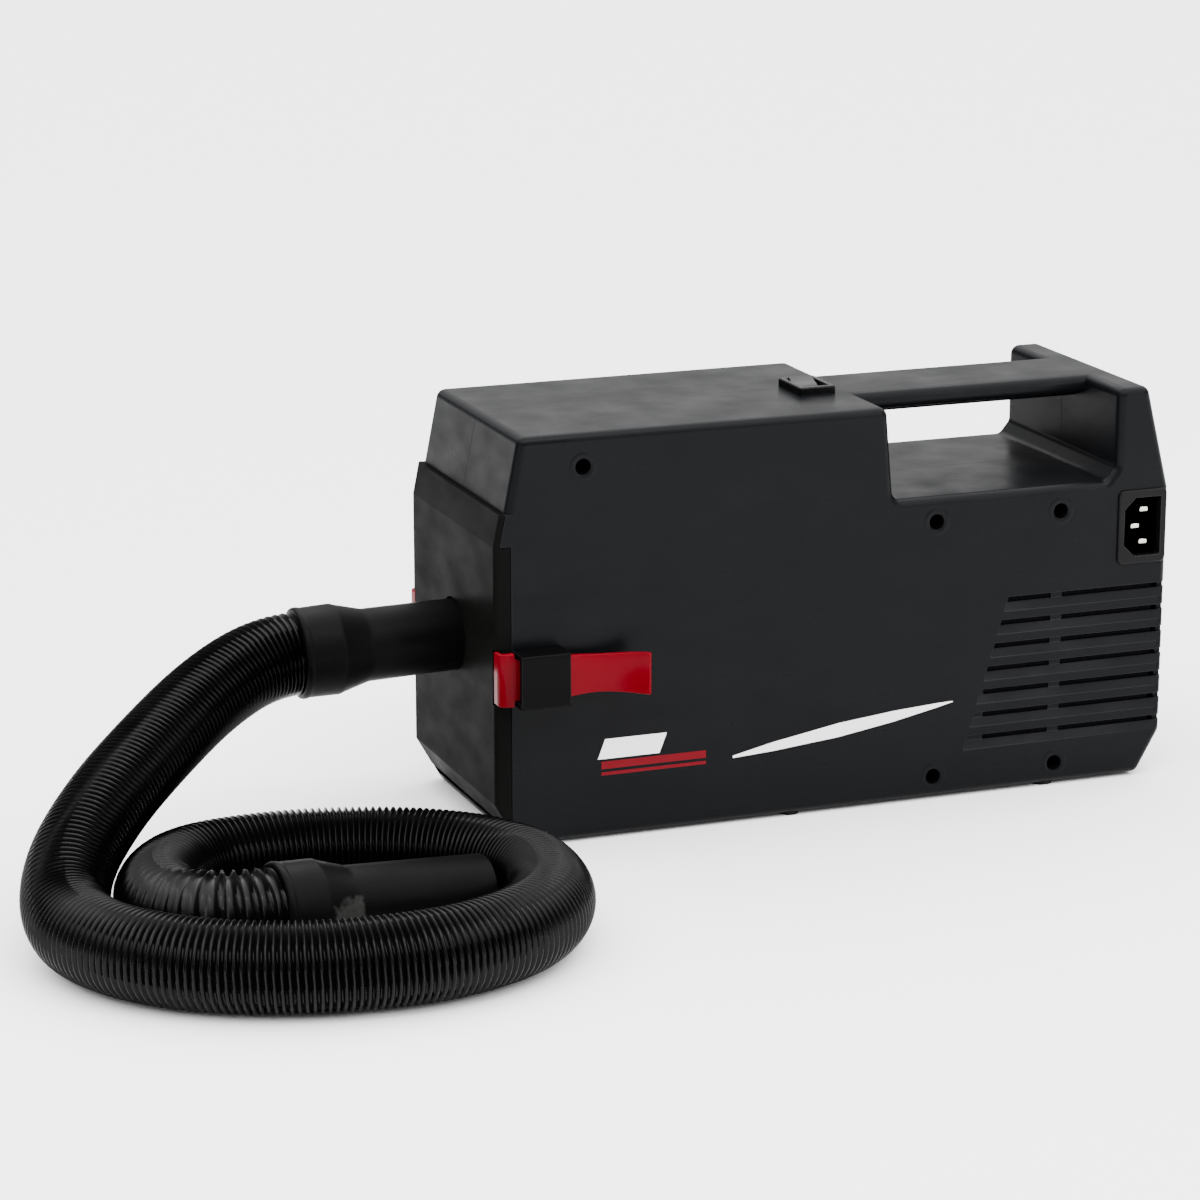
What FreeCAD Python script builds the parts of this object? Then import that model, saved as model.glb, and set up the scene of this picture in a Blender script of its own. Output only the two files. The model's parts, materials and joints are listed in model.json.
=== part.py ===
import FreeCAD, Part
import math
import os
import Sketcher

# Small portable vacuum cleaner: two clamshell halves with a carrying handle, a latched front cover with
# the hose port, a filter cartridge, a fan motor, a mains inlet, a rocker switch and a stretch hose.
# Frame: +X to the rear, -Y the near side with the mains inlet, +Z up, origin on the floor under the middle.

SIZES = {
    # casing
    "bodyLength": 303.3, "bodyWidth": 104.4, "bodyHeight": 169.6, "wall": 2.6, "feetProud": 1.2,
    "edgeRound": 3.6, "cornerRound": 4.0, "noseHeight": 18.2, "noseDepth": 10.4,
    # front slope and cover
    "slopeFoot": 125.5, "slopeSetback": 11.05, "coverProud": 2.35, "coverDepth": 7.15, "coverTop": 138.7,
    "coverWall": 2.5, "coverRound": 1.9, "seamGap": 0.3,
    # grip recess and handle
    "blockRear": 19.9, "recessFloor": 130.2, "recessDraft": 3.5, "wallFront": 126.5, "wallTopRear": 140.8,
    "footBand": 4.6, "handleWidth": 42.0, "handleThick": 8.1, "handleRound": 4.0, "ribWidth": 22.0,
    "ribDepth": 2.8,
    # vents
    "ventTop": 82.9, "ventPitch": 9.83, "ventGap": 2.6, "ventSlant": 3.7, "ventDepth": 1.9,
    "ventStart": 67.2,
    "slantLow": 57.0, "slantHigh": 77.5, "columnX": 97.8, "columnWidth": 5.2,
    # casing screws
    "bossRadius": 4.8, "screwRecess": 3.35, "screwLand": 12.0, "screwShank": 1.6, "screwGrip": 13.0,
    "screwHead": 3.0, "screwHeadHeight": 2.2, "screwSlack": 0.05,
    # hose port and cuffs
    "portHeight": 77.5, "cuffRadius": 15.0, "cuffNarrowing": 0.3, "cuffWall": 2.0, "cuffTube": 57.1,
    "cuffTaper": 12.4, "cuffBell": 17.0, "bellGrip": 1.6, "portWall": 2.3,
    "portSlack": 0.35, "cuffDroop": 1.5, "toolTurn": 5.5, "toolDroop": 3.38,
    "portDepth": 24.0, "hoseRadius": 17.2, "hoseWall": 1.6,
    # latches
    "latchHeight": 71.8, "tabHeight": 17.5, "hookHeight": 22.0, "latchSetback": 17.65, "pivotOut": 5.8,
    "pinRadius": 1.5, "pivotSlack": 0.05, "bridgeLength": 21.0,
    "bridgeOut": 12.0, "bridgeWall": 2.4, "bridgeBase": 1.2, "leverSlack": 0.2, "springWire": 0.35,
    # filter
    "filterSetback": 13.65, "filterRear": -50.0, "filterHalfWidth": 46.0, "filterLow": 8.0,
    "filterHigh": 147.0,
    "filterWall": 1.5, "gasketThick": 6.0, "bulkheadThick": 2.6,
    # fan and motor
    "axisHeight": 62.0, "shaftRadius": 4.0, "runSlack": 0.05, "fanCaseRadius": 45.0, "fanCaseWall": 1.0,
    "fanCaseFront": -38.4, "fanCaseRear": -8.0, "eyeRadius": 18.0, "wheelRadius": 41.0, "bearingRadius": 11.0,
    "bearingWidth": 7.0, "canRadius": 35.8, "canWall": 1.5, "canRear": 80.0, "coreFront": 16.0,
    "coreLength": 34.0, "coreRadius": 33.9, "poleRadius": 20.5, "rotorRadius": 19.9, "commRadius": 11.0,
    "commFront": 62.0, "commLength": 14.0, "brushSize": 6.6, "brushLength": 13.0, "holderWall": 1.0,
    "mountRadius": 20.0,
    # switch and mains inlet
    "switchX": 3.5, "switchY": -6.0, "bezelLength": 16.2, "bezelWidth": 23.2, "bezelProud": 3.4,
    "switchDepth": 19.0, "rockerLength": 10.6, "rockerHalf": 8.4, "rockerTilt": 10.0, "trunnion": 1.2,
    "inletX": 138.7, "inletHeight": 109.6, "socketWidth": 17.0, "socketTall": 25.2, "socketDepth": 16.0,
    "rimWidth": 22.8, "rimTall": 32.2, "rimProud": 1.2, "inletDepth": 21.0,
    # feet and leads
    "footRadius": 4.6, "footInset": 6.0, "leadRadius": 1.4,
}

# Places of the casing screws (x, z) above the casing's underside, and of the feet along the casing.
SCREWS = [(-113.8, 155.8), (42.8, 119.6), (100.3, 119.4), (43.6, 9.1), (100.6, 8.9)]
FOOT_ROWS = [-126.0, -20.0, 98.0]

# The hose's centre line, from the machine's cuff down to the floor, round one loop and into the tool cuff.
HOSE_ROUTE = [
    (-219.5, 0.0, 76.6), (-232.5, 0.0, 76.26), (-260.0, -13.0, 67.3), (-290.5, -40.0, 54.6),
    (-317.0, -68.0, 43.3), (-338.5, -96.0, 29.5), (-346.0, -122.0, 17.4), (-338.0, -155.0, 17.4),
    (-316.0, -181.0, 17.4), (-286.0, -197.0, 17.4), (-253.0, -204.5, 17.4), (-219.0, -204.0, 17.4),
    (-185.0, -189.0, 17.4), (-166.0, -162.0, 17.4), (-162.9, -129.2, 17.4), (-177.7, -102.3, 17.4),
    (-205.3, -83.1, 17.4), (-236.5, -73.5, 17.4), (-262.0, -72.5, 17.4), (-286.0, -76.5, 17.4),
    (-301.0, -91.0, 17.4), (-308.0, -111.0, 17.4), (-304.5, -131.0, 18.4), (-288.7, -146.08, 20.77),
    (-272.3, -144.5, 19.8),
]

doc = FreeCAD.newDocument("PortableVacuum")
sheet = doc.addObject("Spreadsheet::Sheet", "sizes")
finished = []


class Size:
    """A length that keeps its number together with the spreadsheet expression that gives it."""

    def __init__(self, number, text):
        self.number = number
        self.text = text

    def __add__(self, other):
        other = size(other)
        return Size(self.number + other.number, f"({self.text} + {other.text})")

    def __sub__(self, other):
        other = size(other)
        return Size(self.number - other.number, f"({self.text} - {other.text})")

    def __mul__(self, other):
        other = size(other)
        return Size(self.number * other.number, f"{self.text} * {other.text}")

    def __truediv__(self, other):
        other = size(other)
        return Size(self.number / other.number, f"{self.text} / {other.text}")

    def __neg__(self):
        return Size(-self.number, f"(0 - {self.text})")

    def __radd__(self, other):
        return size(other) + self

    def __rsub__(self, other):
        return size(other) - self

    def __rmul__(self, other):
        return size(other) * self


def size(value):
    if isinstance(value, Size):
        return value
    return Size(float(value), f"({float(value)!r})")


class Sheet:
    """Writes the driving sizes into the spreadsheet and hands them out by name."""

    def __init__(self):
        for row, (name, number) in enumerate(SIZES.items(), start=1):
            sheet.set(f"A{row}", name)
            sheet.set(f"B{row}", str(number))
            sheet.setAlias(f"B{row}", name)
            setattr(self, name, Size(number, f"sizes.{name}"))
        doc.recompute()


S = Sheet()
BASE = S.feetProud  # underside of the casing
HALF = S.bodyWidth / 2
FRONT = -S.bodyLength / 2
REAR = S.bodyLength / 2
INSIDE = HALF - S.wall
AXIS = BASE + S.axisHeight
PORT = BASE + S.portHeight
LATCH = FRONT + S.latchSetback
BRIDGE_FRONT = LATCH - S.bridgeLength / 2
BRIDGE_REAR = LATCH + S.bridgeLength / 2
FILTER_FRONT = FRONT + S.filterSetback
CUFF_TIP = S.cuffRadius - S.cuffNarrowing
CUFF_BORE = CUFF_TIP - S.cuffWall
BELL = S.hoseRadius + S.bellGrip
TURN = {
    "x": FreeCAD.Rotation(FreeCAD.Vector(0, 1, 0), 90),
    "y": FreeCAD.Rotation(FreeCAD.Vector(1, 0, 0), -90),
    "z": FreeCAD.Rotation(),
}
SIDES = {"near": -1, "far": 1}


def bind(target, prop, value):
    target.setExpression(prop, size(value).text)


def place(target, x, y, z, turn=None):
    if turn is not None:
        target.Placement = FreeCAD.Placement(FreeCAD.Vector(), turn)
    for axis, value in zip("xyz", (x, y, z)):
        bind(target, f"Placement.Base.{axis}", value)
    return target


def keep(target, label):
    """Marks an object as a finished sub-part; its label names its file."""
    target.Label = label
    finished.append(target)
    return target


def block(name, low, high):
    box = doc.addObject("Part::Box", name)
    for prop, start, end in zip(("Length", "Width", "Height"), low, high):
        bind(box, prop, size(end) - start)
    return place(box, *low)


def rod(name, along, start, radius, length):
    cylinder = doc.addObject("Part::Cylinder", name)
    bind(cylinder, "Radius", radius)
    bind(cylinder, "Height", length)
    return place(cylinder, *start, TURN[along])


def cone(name, along, start, radius1, radius2, length):
    taper = doc.addObject("Part::Cone", name)
    bind(taper, "Radius1", radius1)
    bind(taper, "Radius2", radius2)
    bind(taper, "Height", length)
    return place(taper, *start, TURN[along])


def fuse(name, *shapes):
    joined = doc.addObject("Part::MultiFuse", name)
    joined.Shapes = list(shapes)
    return joined


def cut(name, base, *tools):
    result = doc.addObject("Part::Cut", name)
    result.Base = base
    result.Tool = tools[0] if len(tools) == 1 else fuse(f"{name}_tools", *tools)
    return result


def common(name, *shapes):
    shared = doc.addObject("Part::MultiCommon", name)
    shared.Shapes = list(shapes)
    return shared


def group(name, shapes):
    """Identical pieces that share one node, as separate solids."""
    together = doc.addObject("Part::Compound", name)
    together.Links = list(shapes)
    return together


def ring(name, along, start, outer, inner, length):
    return cut(name, rod(f"{name}_outer", along, start, outer, length),
               rod(f"{name}_inner", along, start, inner, length))


def rounded(name, base, radius, *tests):
    """Part fillet on the edges whose middle passes any of the tests."""
    doc.recompute()
    fillet = doc.addObject("Part::Fillet", name)
    fillet.Base = base
    picked = [i for i, edge in enumerate(base.Shape.Edges, start=1) if any(test(edge) for test in tests)]
    fillet.Edges = [(i, radius.number, radius.number) for i in picked]
    return fillet


def newBody(label):
    return doc.addObject("PartDesign::Body", label)


def sketchOn(body, name, role, offset=0):
    sketch = body.newObject("Sketcher::SketchObject", name)
    plane = next(f for f in body.Origin.OriginFeatures if f.Role == role)
    sketch.AttachmentSupport = [(plane, "")]
    sketch.MapMode = "FlatFace"
    bind(sketch, "AttachmentOffset.Base.z", offset)
    return sketch


def outline(sketch, points):
    """Closed polygon whose corners are held by the sheet's sizes."""
    points = [(size(u), size(v)) for u, v in points]
    flat = [FreeCAD.Vector(u.number, v.number, 0) for u, v in points]
    first = sketch.GeometryCount
    count = len(points)
    for i in range(count):
        sketch.addGeometry(Part.LineSegment(flat[i], flat[(i + 1) % count]), False)
    for i in range(count):
        sketch.addConstraint(Sketcher.Constraint("Coincident", first + i, 2, first + (i + 1) % count, 1))
    for i, pair in enumerate(points):
        for kind, value in zip(("DistanceX", "DistanceY"), pair):
            held = sketch.addConstraint(Sketcher.Constraint(kind, -1, 1, first + i, 1, value.number))
            sketch.setExpression(f"Constraints[{held}]", value.text)


def feature(body, kind, name, sketch, length, backwards=False):
    made = body.newObject(f"PartDesign::{kind}", name)
    made.Profile = sketch
    bind(made, "Length", length)
    made.Reversed = backwards
    return made


def revolved(body, name, sketch):
    turned = body.newObject("PartDesign::Revolution", name)
    turned.Profile = sketch
    turned.ReferenceAxis = (sketch, ["H_Axis"])
    turned.Angle = 360
    return turned


def softened(body, name, radius, test):
    """PartDesign fillet on the edges of the body's tip that pass the test."""
    doc.recompute()
    tip = body.Tip
    picked = [f"Edge{i}" for i, edge in enumerate(tip.Shape.Edges, start=1) if test(edge)]
    fillet = body.newObject("PartDesign::Fillet", name)
    fillet.Base = (tip, picked)
    bind(fillet, "Radius", radius)
    return fillet


def middle(edge):
    return edge.BoundBox.Center


def runsAlong(edge, axis):
    box = edge.BoundBox
    spans = {"x": box.XLength, "y": box.YLength, "z": box.ZLength}
    return all(span < 1e-4 for name, span in spans.items() if name != axis)


# ---------------------------------------------------------------- casing


def shellProfile(top):
    """Side outline of a casing half, clockwise from the front of the underside."""
    mouth = FRONT + S.coverDepth
    noseRise = S.noseHeight - S.noseHeight * S.coverDepth / S.noseDepth
    slopeFront = FRONT + S.coverProud
    floor = BASE + S.recessFloor
    return [
        (FRONT + S.noseDepth, BASE), (REAR - S.noseDepth, BASE), (REAR, BASE + S.noseHeight),
        (REAR, BASE + S.slopeFoot), (S.wallTopRear, top), (S.wallFront, top),
        (S.wallFront, floor + S.footBand + 1), (S.wallFront - S.footBand, floor),
        (S.blockRear + S.recessDraft, floor), (S.blockRear, top), (FRONT + S.slopeSetback, top),
        (slopeFront, BASE + S.slopeFoot), (mouth, BASE + S.slopeFoot), (mouth, BASE + noseRise),
    ]


def cavityProfile(top):
    """Hollow of a casing half: the same outline, one wall further in and open at the front."""
    beyond = FRONT - 2
    ceiling = top - S.wall
    under = BASE + S.recessFloor - S.wall
    return [
        (beyond, BASE + S.wall), (REAR - S.noseDepth - S.wall / 2, BASE + S.wall),
        (REAR - S.wall, BASE + S.noseHeight + S.wall / 4), (REAR - S.wall, BASE + S.slopeFoot - S.wall / 4),
        (S.wallTopRear - S.wall, ceiling), (S.wallFront + S.wall, ceiling),
        (S.wallFront + S.wall, under + S.footBand + 2), (S.wallFront - S.footBand + S.wall / 2, under),
        (S.blockRear + S.recessDraft - S.wall, under), (S.blockRear - S.wall, ceiling),
        (FRONT + S.slopeSetback + S.wall, ceiling), (FRONT + S.coverProud + S.wall, BASE + S.slopeFoot),
        (beyond, BASE + S.slopeFoot),
    ]


def casingBody(side):
    """One casing half as a moulding: padded outline, rounded, hollowed, with its screw bosses."""
    far = side == "far"
    top = BASE + S.bodyHeight
    body = newBody(f"{side}_moulding")
    outer = sketchOn(body, f"{side}_outline", "XZ_Plane")
    outline(outer, shellProfile(top))
    feature(body, "Pad", f"{side}_solid", outer, HALF, far)
    limit = FRONT.number + S.slopeSetback.number - 0.1
    softened(body, f"{side}_corners", S.cornerRound,
             lambda edge: runsAlong(edge, "y") and middle(edge).x > limit)

    def onRim(edge):
        mid = middle(edge)
        mouthEdge = mid.x < FRONT.number + S.coverDepth.number + 0.05
        slope = mid.z > BASE.number + S.slopeFoot.number + 1
        outside = edge.BoundBox.YLength < 1e-4 and abs(abs(mid.y) - HALF.number) < 1e-3
        return outside and (slope or not mouthEdge)

    softened(body, f"{side}_rim", S.edgeRound, onRim)
    # square-edged strip of the slope that the cover's lip lies on
    lean = (S.slopeSetback - S.coverProud) / (S.bodyHeight - S.slopeFoot)
    lipRoot = FRONT + S.coverProud
    lipTop = lipRoot + (S.coverTop - S.slopeFoot) * lean
    cheek = sketchOn(body, f"{side}_cheek_outline", "XZ_Plane")
    outline(cheek, [
        (lipRoot, BASE + S.slopeFoot), (lipTop, BASE + S.coverTop), (lipTop + 6, BASE + S.coverTop),
        (lipRoot + 6, BASE + S.slopeFoot),
    ])
    feature(body, "Pad", f"{side}_cheek", cheek, HALF, far)
    hollow = sketchOn(body, f"{side}_hollow_outline", "XZ_Plane")
    outline(hollow, cavityProfile(top))
    feature(body, "Pocket", f"{side}_hollow", hollow, INSIDE, not far)
    bosses = sketchOn(body, f"{side}_boss_circles", "XZ_Plane")
    for i, (x, z) in enumerate(SCREWS):
        bosses.addGeometry(Part.Circle(FreeCAD.Vector(x, BASE.number + z, 0), FreeCAD.Vector(0, 0, 1),
                                       S.bossRadius.number), False)
        bosses.addConstraint(Sketcher.Constraint("DistanceX", -1, 1, i, 3, x))
        lift = bosses.addConstraint(Sketcher.Constraint("DistanceY", -1, 1, i, 3, BASE.number + z))
        bosses.setExpression(f"Constraints[{lift}]", (BASE + z).text)
        radius = bosses.addConstraint(Sketcher.Constraint("Radius", i, S.bossRadius.number))
        bosses.setExpression(f"Constraints[{radius}]", S.bossRadius.text)
    feature(body, "Pad", f"{side}_bosses", bosses, INSIDE + S.wall / 2, far)
    return body


def handleHalf(side):
    """Half of the carrying handle, from inside the front block to inside the rear wall."""
    sign = SIDES[side]
    top = BASE + S.bodyHeight
    start = S.blockRear - S.cornerRound - 1
    end = S.wallFront + S.cornerRound + 1
    outer = S.handleWidth / 2 * sign
    low, high = sorted((size(0), outer), key=lambda value: value.number)
    bar = block(f"{side}_bar", (start, low, top - S.handleThick), (end, high, top))
    edge = abs(outer.number)
    bar = rounded(f"{side}_bar_round", bar, S.handleRound,
                  lambda e: runsAlong(e, "x") and abs(abs(middle(e).y) - edge) < 1e-3)
    ribLow, ribHigh = sorted((size(0), S.ribWidth / 2 * sign), key=lambda value: value.number)
    rib = block(f"{side}_grip_rib", (start, ribLow, top - S.handleThick - S.ribDepth),
                (end, ribHigh, top - S.handleThick + 1))
    ribEdge = S.ribWidth.number / 2
    ribBottom = (top - S.handleThick - S.ribDepth).number
    rib = rounded(f"{side}_rib_round", rib, S.ribDepth * 0.8,
                  lambda e: runsAlong(e, "x") and abs(abs(middle(e).y) - ribEdge) < 1e-3
                  and abs(middle(e).z - ribBottom) < 1e-3)
    return [bar, rib]


def ventTools(side):
    """Louvres: a slanted groove above each blade and a through slot at its deep end."""
    sign = SIDES[side]
    grooves = []
    slots = []
    skin = HALF + 0.1
    deep = HALF - S.ventDepth
    for i in range(7):
        z = BASE + S.ventTop - S.ventPitch * i
        upper = z + S.ventGap / 2
        lower = z - S.ventGap / 2
        groove = doc.addObject("Part::Wedge", f"{side}_groove_{i}")
        wide = ("Zmin", "Zmax")
        narrow = ("Z2min", "Z2max")
        outerFace, deepFace = (wide, narrow) if sign < 0 else (narrow, wide)
        yLow, yHigh = (-skin, -deep) if sign < 0 else (deep, skin)
        for prop, value in {"Ymin": yLow, "Ymax": yHigh, outerFace[0]: lower - S.ventSlant,
                            outerFace[1]: upper, deepFace[0]: lower, deepFace[1]: upper,
                            "Xmin": S.slantLow - 2, "X2min": S.slantLow - 2, "Xmax": REAR + 1,
                            "X2max": REAR + 1}.items():
            bind(groove, prop, value)
        grooves.append(groove)
        yLow, yHigh = (-skin, -(INSIDE - 1)) if sign < 0 else (INSIDE - 1, skin)
        slots.append(block(f"{side}_slot_{i}", (S.ventStart, yLow, lower), (REAR + 1, yHigh, upper)))
    mask = doc.addObject("Part::Wedge", f"{side}_slant")
    low = BASE + S.ventTop - S.ventPitch * 6 - S.ventSlant - 3
    high = BASE + S.ventTop + 3
    for prop, value in {"Ymin": low, "Ymax": high, "Xmin": S.slantLow, "X2min": S.slantHigh,
                        "Xmax": REAR + 2, "X2max": REAR + 2, "Zmin": -HALF - 2, "Z2min": -HALF - 2,
                        "Zmax": HALF + 2,
                        "Z2max": HALF + 2}.items():
        bind(mask, prop, value)
    mask.Placement = FreeCAD.Placement(FreeCAD.Vector(), FreeCAD.Rotation(FreeCAD.Vector(1, 0, 0), 90))
    column = block(f"{side}_column", (S.columnX, -HALF - 2, low),
                   (S.columnX + S.columnWidth, HALF + 2, high))
    open_ = cut(f"{side}_open_slots", fuse(f"{side}_all_slots", *slots), column)
    vents = fuse(f"{side}_vents", fuse(f"{side}_grooves", *grooves), open_)
    return [common(f"{side}_louvres", vents, mask)]


def screwTools(side):
    tools = []
    for i, (x, z) in enumerate(SCREWS):
        height = BASE + z
        if side == "near":
            tools.append(rod(f"recess_{i}", "y", (x, -HALF - 1, height), S.screwRecess,
                             HALF + 1 - S.screwLand))
            tools.append(rod(f"clear_{i}", "y", (x, -HALF, height), S.screwShank + S.screwSlack, HALF + 1))
        else:
            tools.append(rod(f"pilot_{i}", "y", (x, -1, height), S.screwShank + S.screwSlack,
                             S.screwGrip + 2))
    return tools


def switchCutout(side):
    top = BASE + S.bodyHeight
    slack = 0.2
    half = S.bezelLength / 2 - 1.3 + slack
    reach = S.bezelWidth / 2 - 1.5 + slack
    return block(f"{side}_switch_cutout", (S.switchX - half, S.switchY - reach, top - S.wall - 1),
                 (S.switchX + half, S.switchY + reach, top + 1))


def inletCutout():
    half = S.rimWidth / 2 - 1.4
    tall = S.rimTall / 2 - 1.6
    height = BASE + S.inletHeight
    return block("inlet_cutout", (S.inletX - half, -HALF - 2, height - tall),
                 (S.inletX + half, -INSIDE + 1, height + tall))


def footRecess(side):
    sign = SIDES[side]
    return [rod(f"{side}_foot_seat_{i}", "z", (x, (HALF - S.footInset) * sign, BASE - 1),
                S.footRadius + 0.1, 1.8) for i, x in enumerate(FOOT_ROWS)]


def cradle(side):
    """Rib on the floor that carries the motor's rear rubber mount."""
    sign = SIDES[side]
    low, high = sorted((size(0), size(24 * sign)), key=lambda value: value.number)
    plate = block(f"{side}_cradle_plate", (85.6, low, BASE + S.wall / 2), (89.4, high, AXIS + 2))
    return cut(f"{side}_cradle", plate, rod(f"{side}_cradle_seat", "x", (85, 0, AXIS), S.mountRadius, 5))


def casing(side):
    whole = fuse(f"{side}_casing", casingBody(side), *handleHalf(side), cradle(side))
    tools = ventTools(side) + screwTools(side) + footRecess(side) + [switchCutout(side)]
    if side == "near":
        tools.append(inletCutout())
    keep(cut(f"{side}_finished", whole, *tools), f"{side}_shell")


def casingScrews():
    screws = []
    for i, (x, z) in enumerate(SCREWS):
        height = BASE + z
        head = rod(f"head_{i}", "y", (x, -S.screwLand - S.screwHeadHeight, height), S.screwHead,
                   S.screwHeadHeight)
        shank = rod(f"shank_{i}", "y", (x, -S.screwLand, height), S.screwShank, S.screwLand + S.screwGrip)
        slotted = block(f"drive_{i}", (x - 0.4, -S.screwLand - S.screwHeadHeight - 0.1, height - 2),
                        (x + 0.4, -S.screwLand - S.screwHeadHeight + 0.9, height + 2))
        crossed = block(f"cross_{i}", (x - 2, -S.screwLand - S.screwHeadHeight - 0.1, height - 0.4),
                        (x + 2, -S.screwLand - S.screwHeadHeight + 0.9, height + 0.4))
        screws.append(cut(f"screw_{i}", fuse(f"screw_blank_{i}", head, shank), slotted, crossed))
    keep(group("screws", screws), "casing_screws")


def feet():
    made = []
    for side, sign in SIDES.items():
        for i, x in enumerate(FOOT_ROWS):
            made.append(cone(f"{side}_foot_{i}", "z", (x, (HALF - S.footInset) * sign, 0),
                             S.footRadius - 0.5, S.footRadius, S.feetProud + 0.8))
    keep(group("feet_group", made), "rubber_feet")


# ---------------------------------------------------------------- front cover and hose port


def frontCover():
    """Dished cover over the mouth of the casing, with the hose port's sleeve and the latch notches."""
    body = newBody("cover_moulding")
    back = FRONT + S.coverDepth - S.seamGap
    foot = BASE + S.slopeFoot
    rise = S.noseHeight - S.noseHeight * (S.coverDepth - S.seamGap) / S.noseDepth
    lean = (S.slopeSetback - S.coverProud) / (S.bodyHeight - S.slopeFoot)
    lipFront = FRONT + (S.coverTop - S.slopeFoot) * lean
    lipThick = S.coverProud - S.seamGap
    profile = sketchOn(body, "cover_outline", "XZ_Plane", -HALF)
    outline(profile, [
        (back, BASE + rise), (FRONT, BASE + S.noseHeight), (FRONT, foot), (lipFront, BASE + S.coverTop),
        (lipFront + lipThick, BASE + S.coverTop), (FRONT + lipThick, foot - S.seamGap),
        (back, foot - S.seamGap),
    ])
    feature(body, "Pad", "cover_solid", profile, S.bodyWidth)
    softened(body, "cover_creases", S.cornerRound / 2,
             lambda e: runsAlong(e, "y") and abs(middle(e).x - FRONT.number) < 1e-3)

    def onRim(edge):
        mid = middle(edge)
        front = mid.x < back.number - 0.05 and mid.x < FRONT.number + 0.55 * S.coverDepth.number
        lip = abs(mid.z - (BASE + S.coverTop).number) < 1e-3 or mid.x > (FRONT + lipThick).number - 1e-3 \
            and mid.z > foot.number - 1
        return edge.BoundBox.YLength < 1e-4 and abs(abs(mid.y) - HALF.number) < 1e-3 and front and not lip

    softened(body, "cover_rim", S.coverRound, onRim)
    dish = block("cover_dish", (FRONT + S.coverWall, -INSIDE + 0.1, BASE + S.noseHeight + 2),
                 (back + 1, INSIDE - 0.1, foot - S.seamGap - S.coverWall))
    sleeve = rod("port_sleeve", "x", (FRONT + 0.5, 0, PORT), S.cuffRadius + S.portSlack + S.portWall,
                 S.portDepth - 0.5)
    bore = rod("port_bore", "x", (FRONT - 1, 0, PORT), S.cuffRadius + S.portSlack, S.portDepth + 2)
    seat = rod("seal_seat", "x", (FRONT + 1.5, 0, PORT), S.cuffRadius + S.portSlack + 1.5, 3)
    notches = []
    for side, sign in SIDES.items():
        across = ((HALF - S.coverWall - 0.3) * sign, (HALF + 1) * sign)
        low, high = sorted(across, key=lambda value: value.number)
        notches.append(block(f"{side}_notch",
                             (FRONT - 1, low, BASE + S.latchHeight - S.hookHeight / 2 - 0.6),
                             (FRONT + S.coverWall, high, BASE + S.latchHeight + S.hookHeight / 2 + 0.6)))
    dished = fuse("cover_with_port", cut("cover_shell", body, dish), sleeve)
    keep(cut("cover_finished", dished, bore, seat, *notches), "front_cover")


def coverSeal():
    """Foam frame inside the joint between the cover and the casing."""
    front = FRONT + S.coverWall
    rear = FRONT + S.coverDepth + 3.5
    low = BASE + S.noseHeight + 2.1
    high = BASE + S.slopeFoot - S.seamGap - S.coverWall - 0.1
    side = INSIDE - 0.3
    outer = block("seal_outer", (front, -side, low), (rear, side, high))
    inner = block("seal_inner", (front - 1, -side + 3, low + 3), (rear + 1, side - 3, high - 3))
    keep(cut("seal_frame", outer, inner), "cover_seal")


def portSeal():
    keep(ring("port_ring", "x", (FRONT + 1.5, 0, PORT), S.cuffRadius + S.portSlack + 1.5,
              S.cuffRadius + 0.3, 3), "port_seal")


def cuff(label, mouth, turn, droop):
    """Moulded hose cuff: tapered spigot, flare and the bell that grips the hose.

    Its bell's mouth is at the given point; the spigot points along +X, turned to the left and drooping.
    """
    body = newBody(f"{label}_moulding")
    sketch = sketchOn(body, f"{label}_section", "XZ_Plane")
    total = S.cuffTube + S.cuffTaper + S.cuffBell
    outline(sketch, [
        (0, CUFF_BORE), (0, BELL - 0.8), (0.8, BELL), (S.cuffBell, BELL),
        (S.cuffBell + S.cuffTaper, S.cuffRadius), (total, CUFF_TIP), (total, CUFF_BORE),
    ])
    revolved(body, f"{label}_solid", sketch)
    bind(body, "Placement.Rotation.Yaw", turn)
    bind(body, "Placement.Rotation.Pitch", droop)
    keep(place(body, *mouth), label)


def hose():
    """Plain tube of straight runs and tangent arcs along the route."""
    corners = [FreeCAD.Vector(*point) for point in HOSE_ROUTE]
    edges = []
    radii = []
    start = corners[0]
    for before, corner, after in zip(corners, corners[1:], corners[2:]):
        into = corner - before
        out = after - corner
        shorter = min(into.Length, out.Length)
        into.normalize()
        out.normalize()
        turn = into.getAngle(out)
        reach = 0.45 * shorter
        radii.append(reach / math.tan(turn / 2))
        arcStart = corner - into * reach
        arcEnd = corner + out * reach
        bow = out - into
        bow.normalize()
        dip = radii[-1] / math.cos(turn / 2) - radii[-1]
        edges.append(Part.LineSegment(start, arcStart).toShape())
        edges.append(Part.Arc(arcStart, corner + bow * dip, arcEnd).toShape())
        start = arcEnd
    edges.append(Part.LineSegment(start, corners[-1]).toShape())
    path = Part.Wire(edges)
    heading = corners[1] - corners[0]

    def swept(radius):
        ringWire = Part.Wire([Part.Circle(corners[0], heading, radius).toShape()])
        return path.makePipeShell([ringWire], True, False)

    outer = S.hoseRadius.number
    inner = outer - S.hoseWall.number
    made = doc.addObject("Part::Feature", "hose_tube")
    made.Shape = swept(outer).cut(swept(inner))
    expected = math.pi * (outer ** 2 - inner ** 2) * path.Length
    print("hose length", round(path.Length, 1), "volume ratio", round(made.Shape.Volume / expected, 4))
    print("hose bend radii", [round(radius, 1) for radius in radii])
    keep(made, "hose")


# ---------------------------------------------------------------- latches


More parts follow.
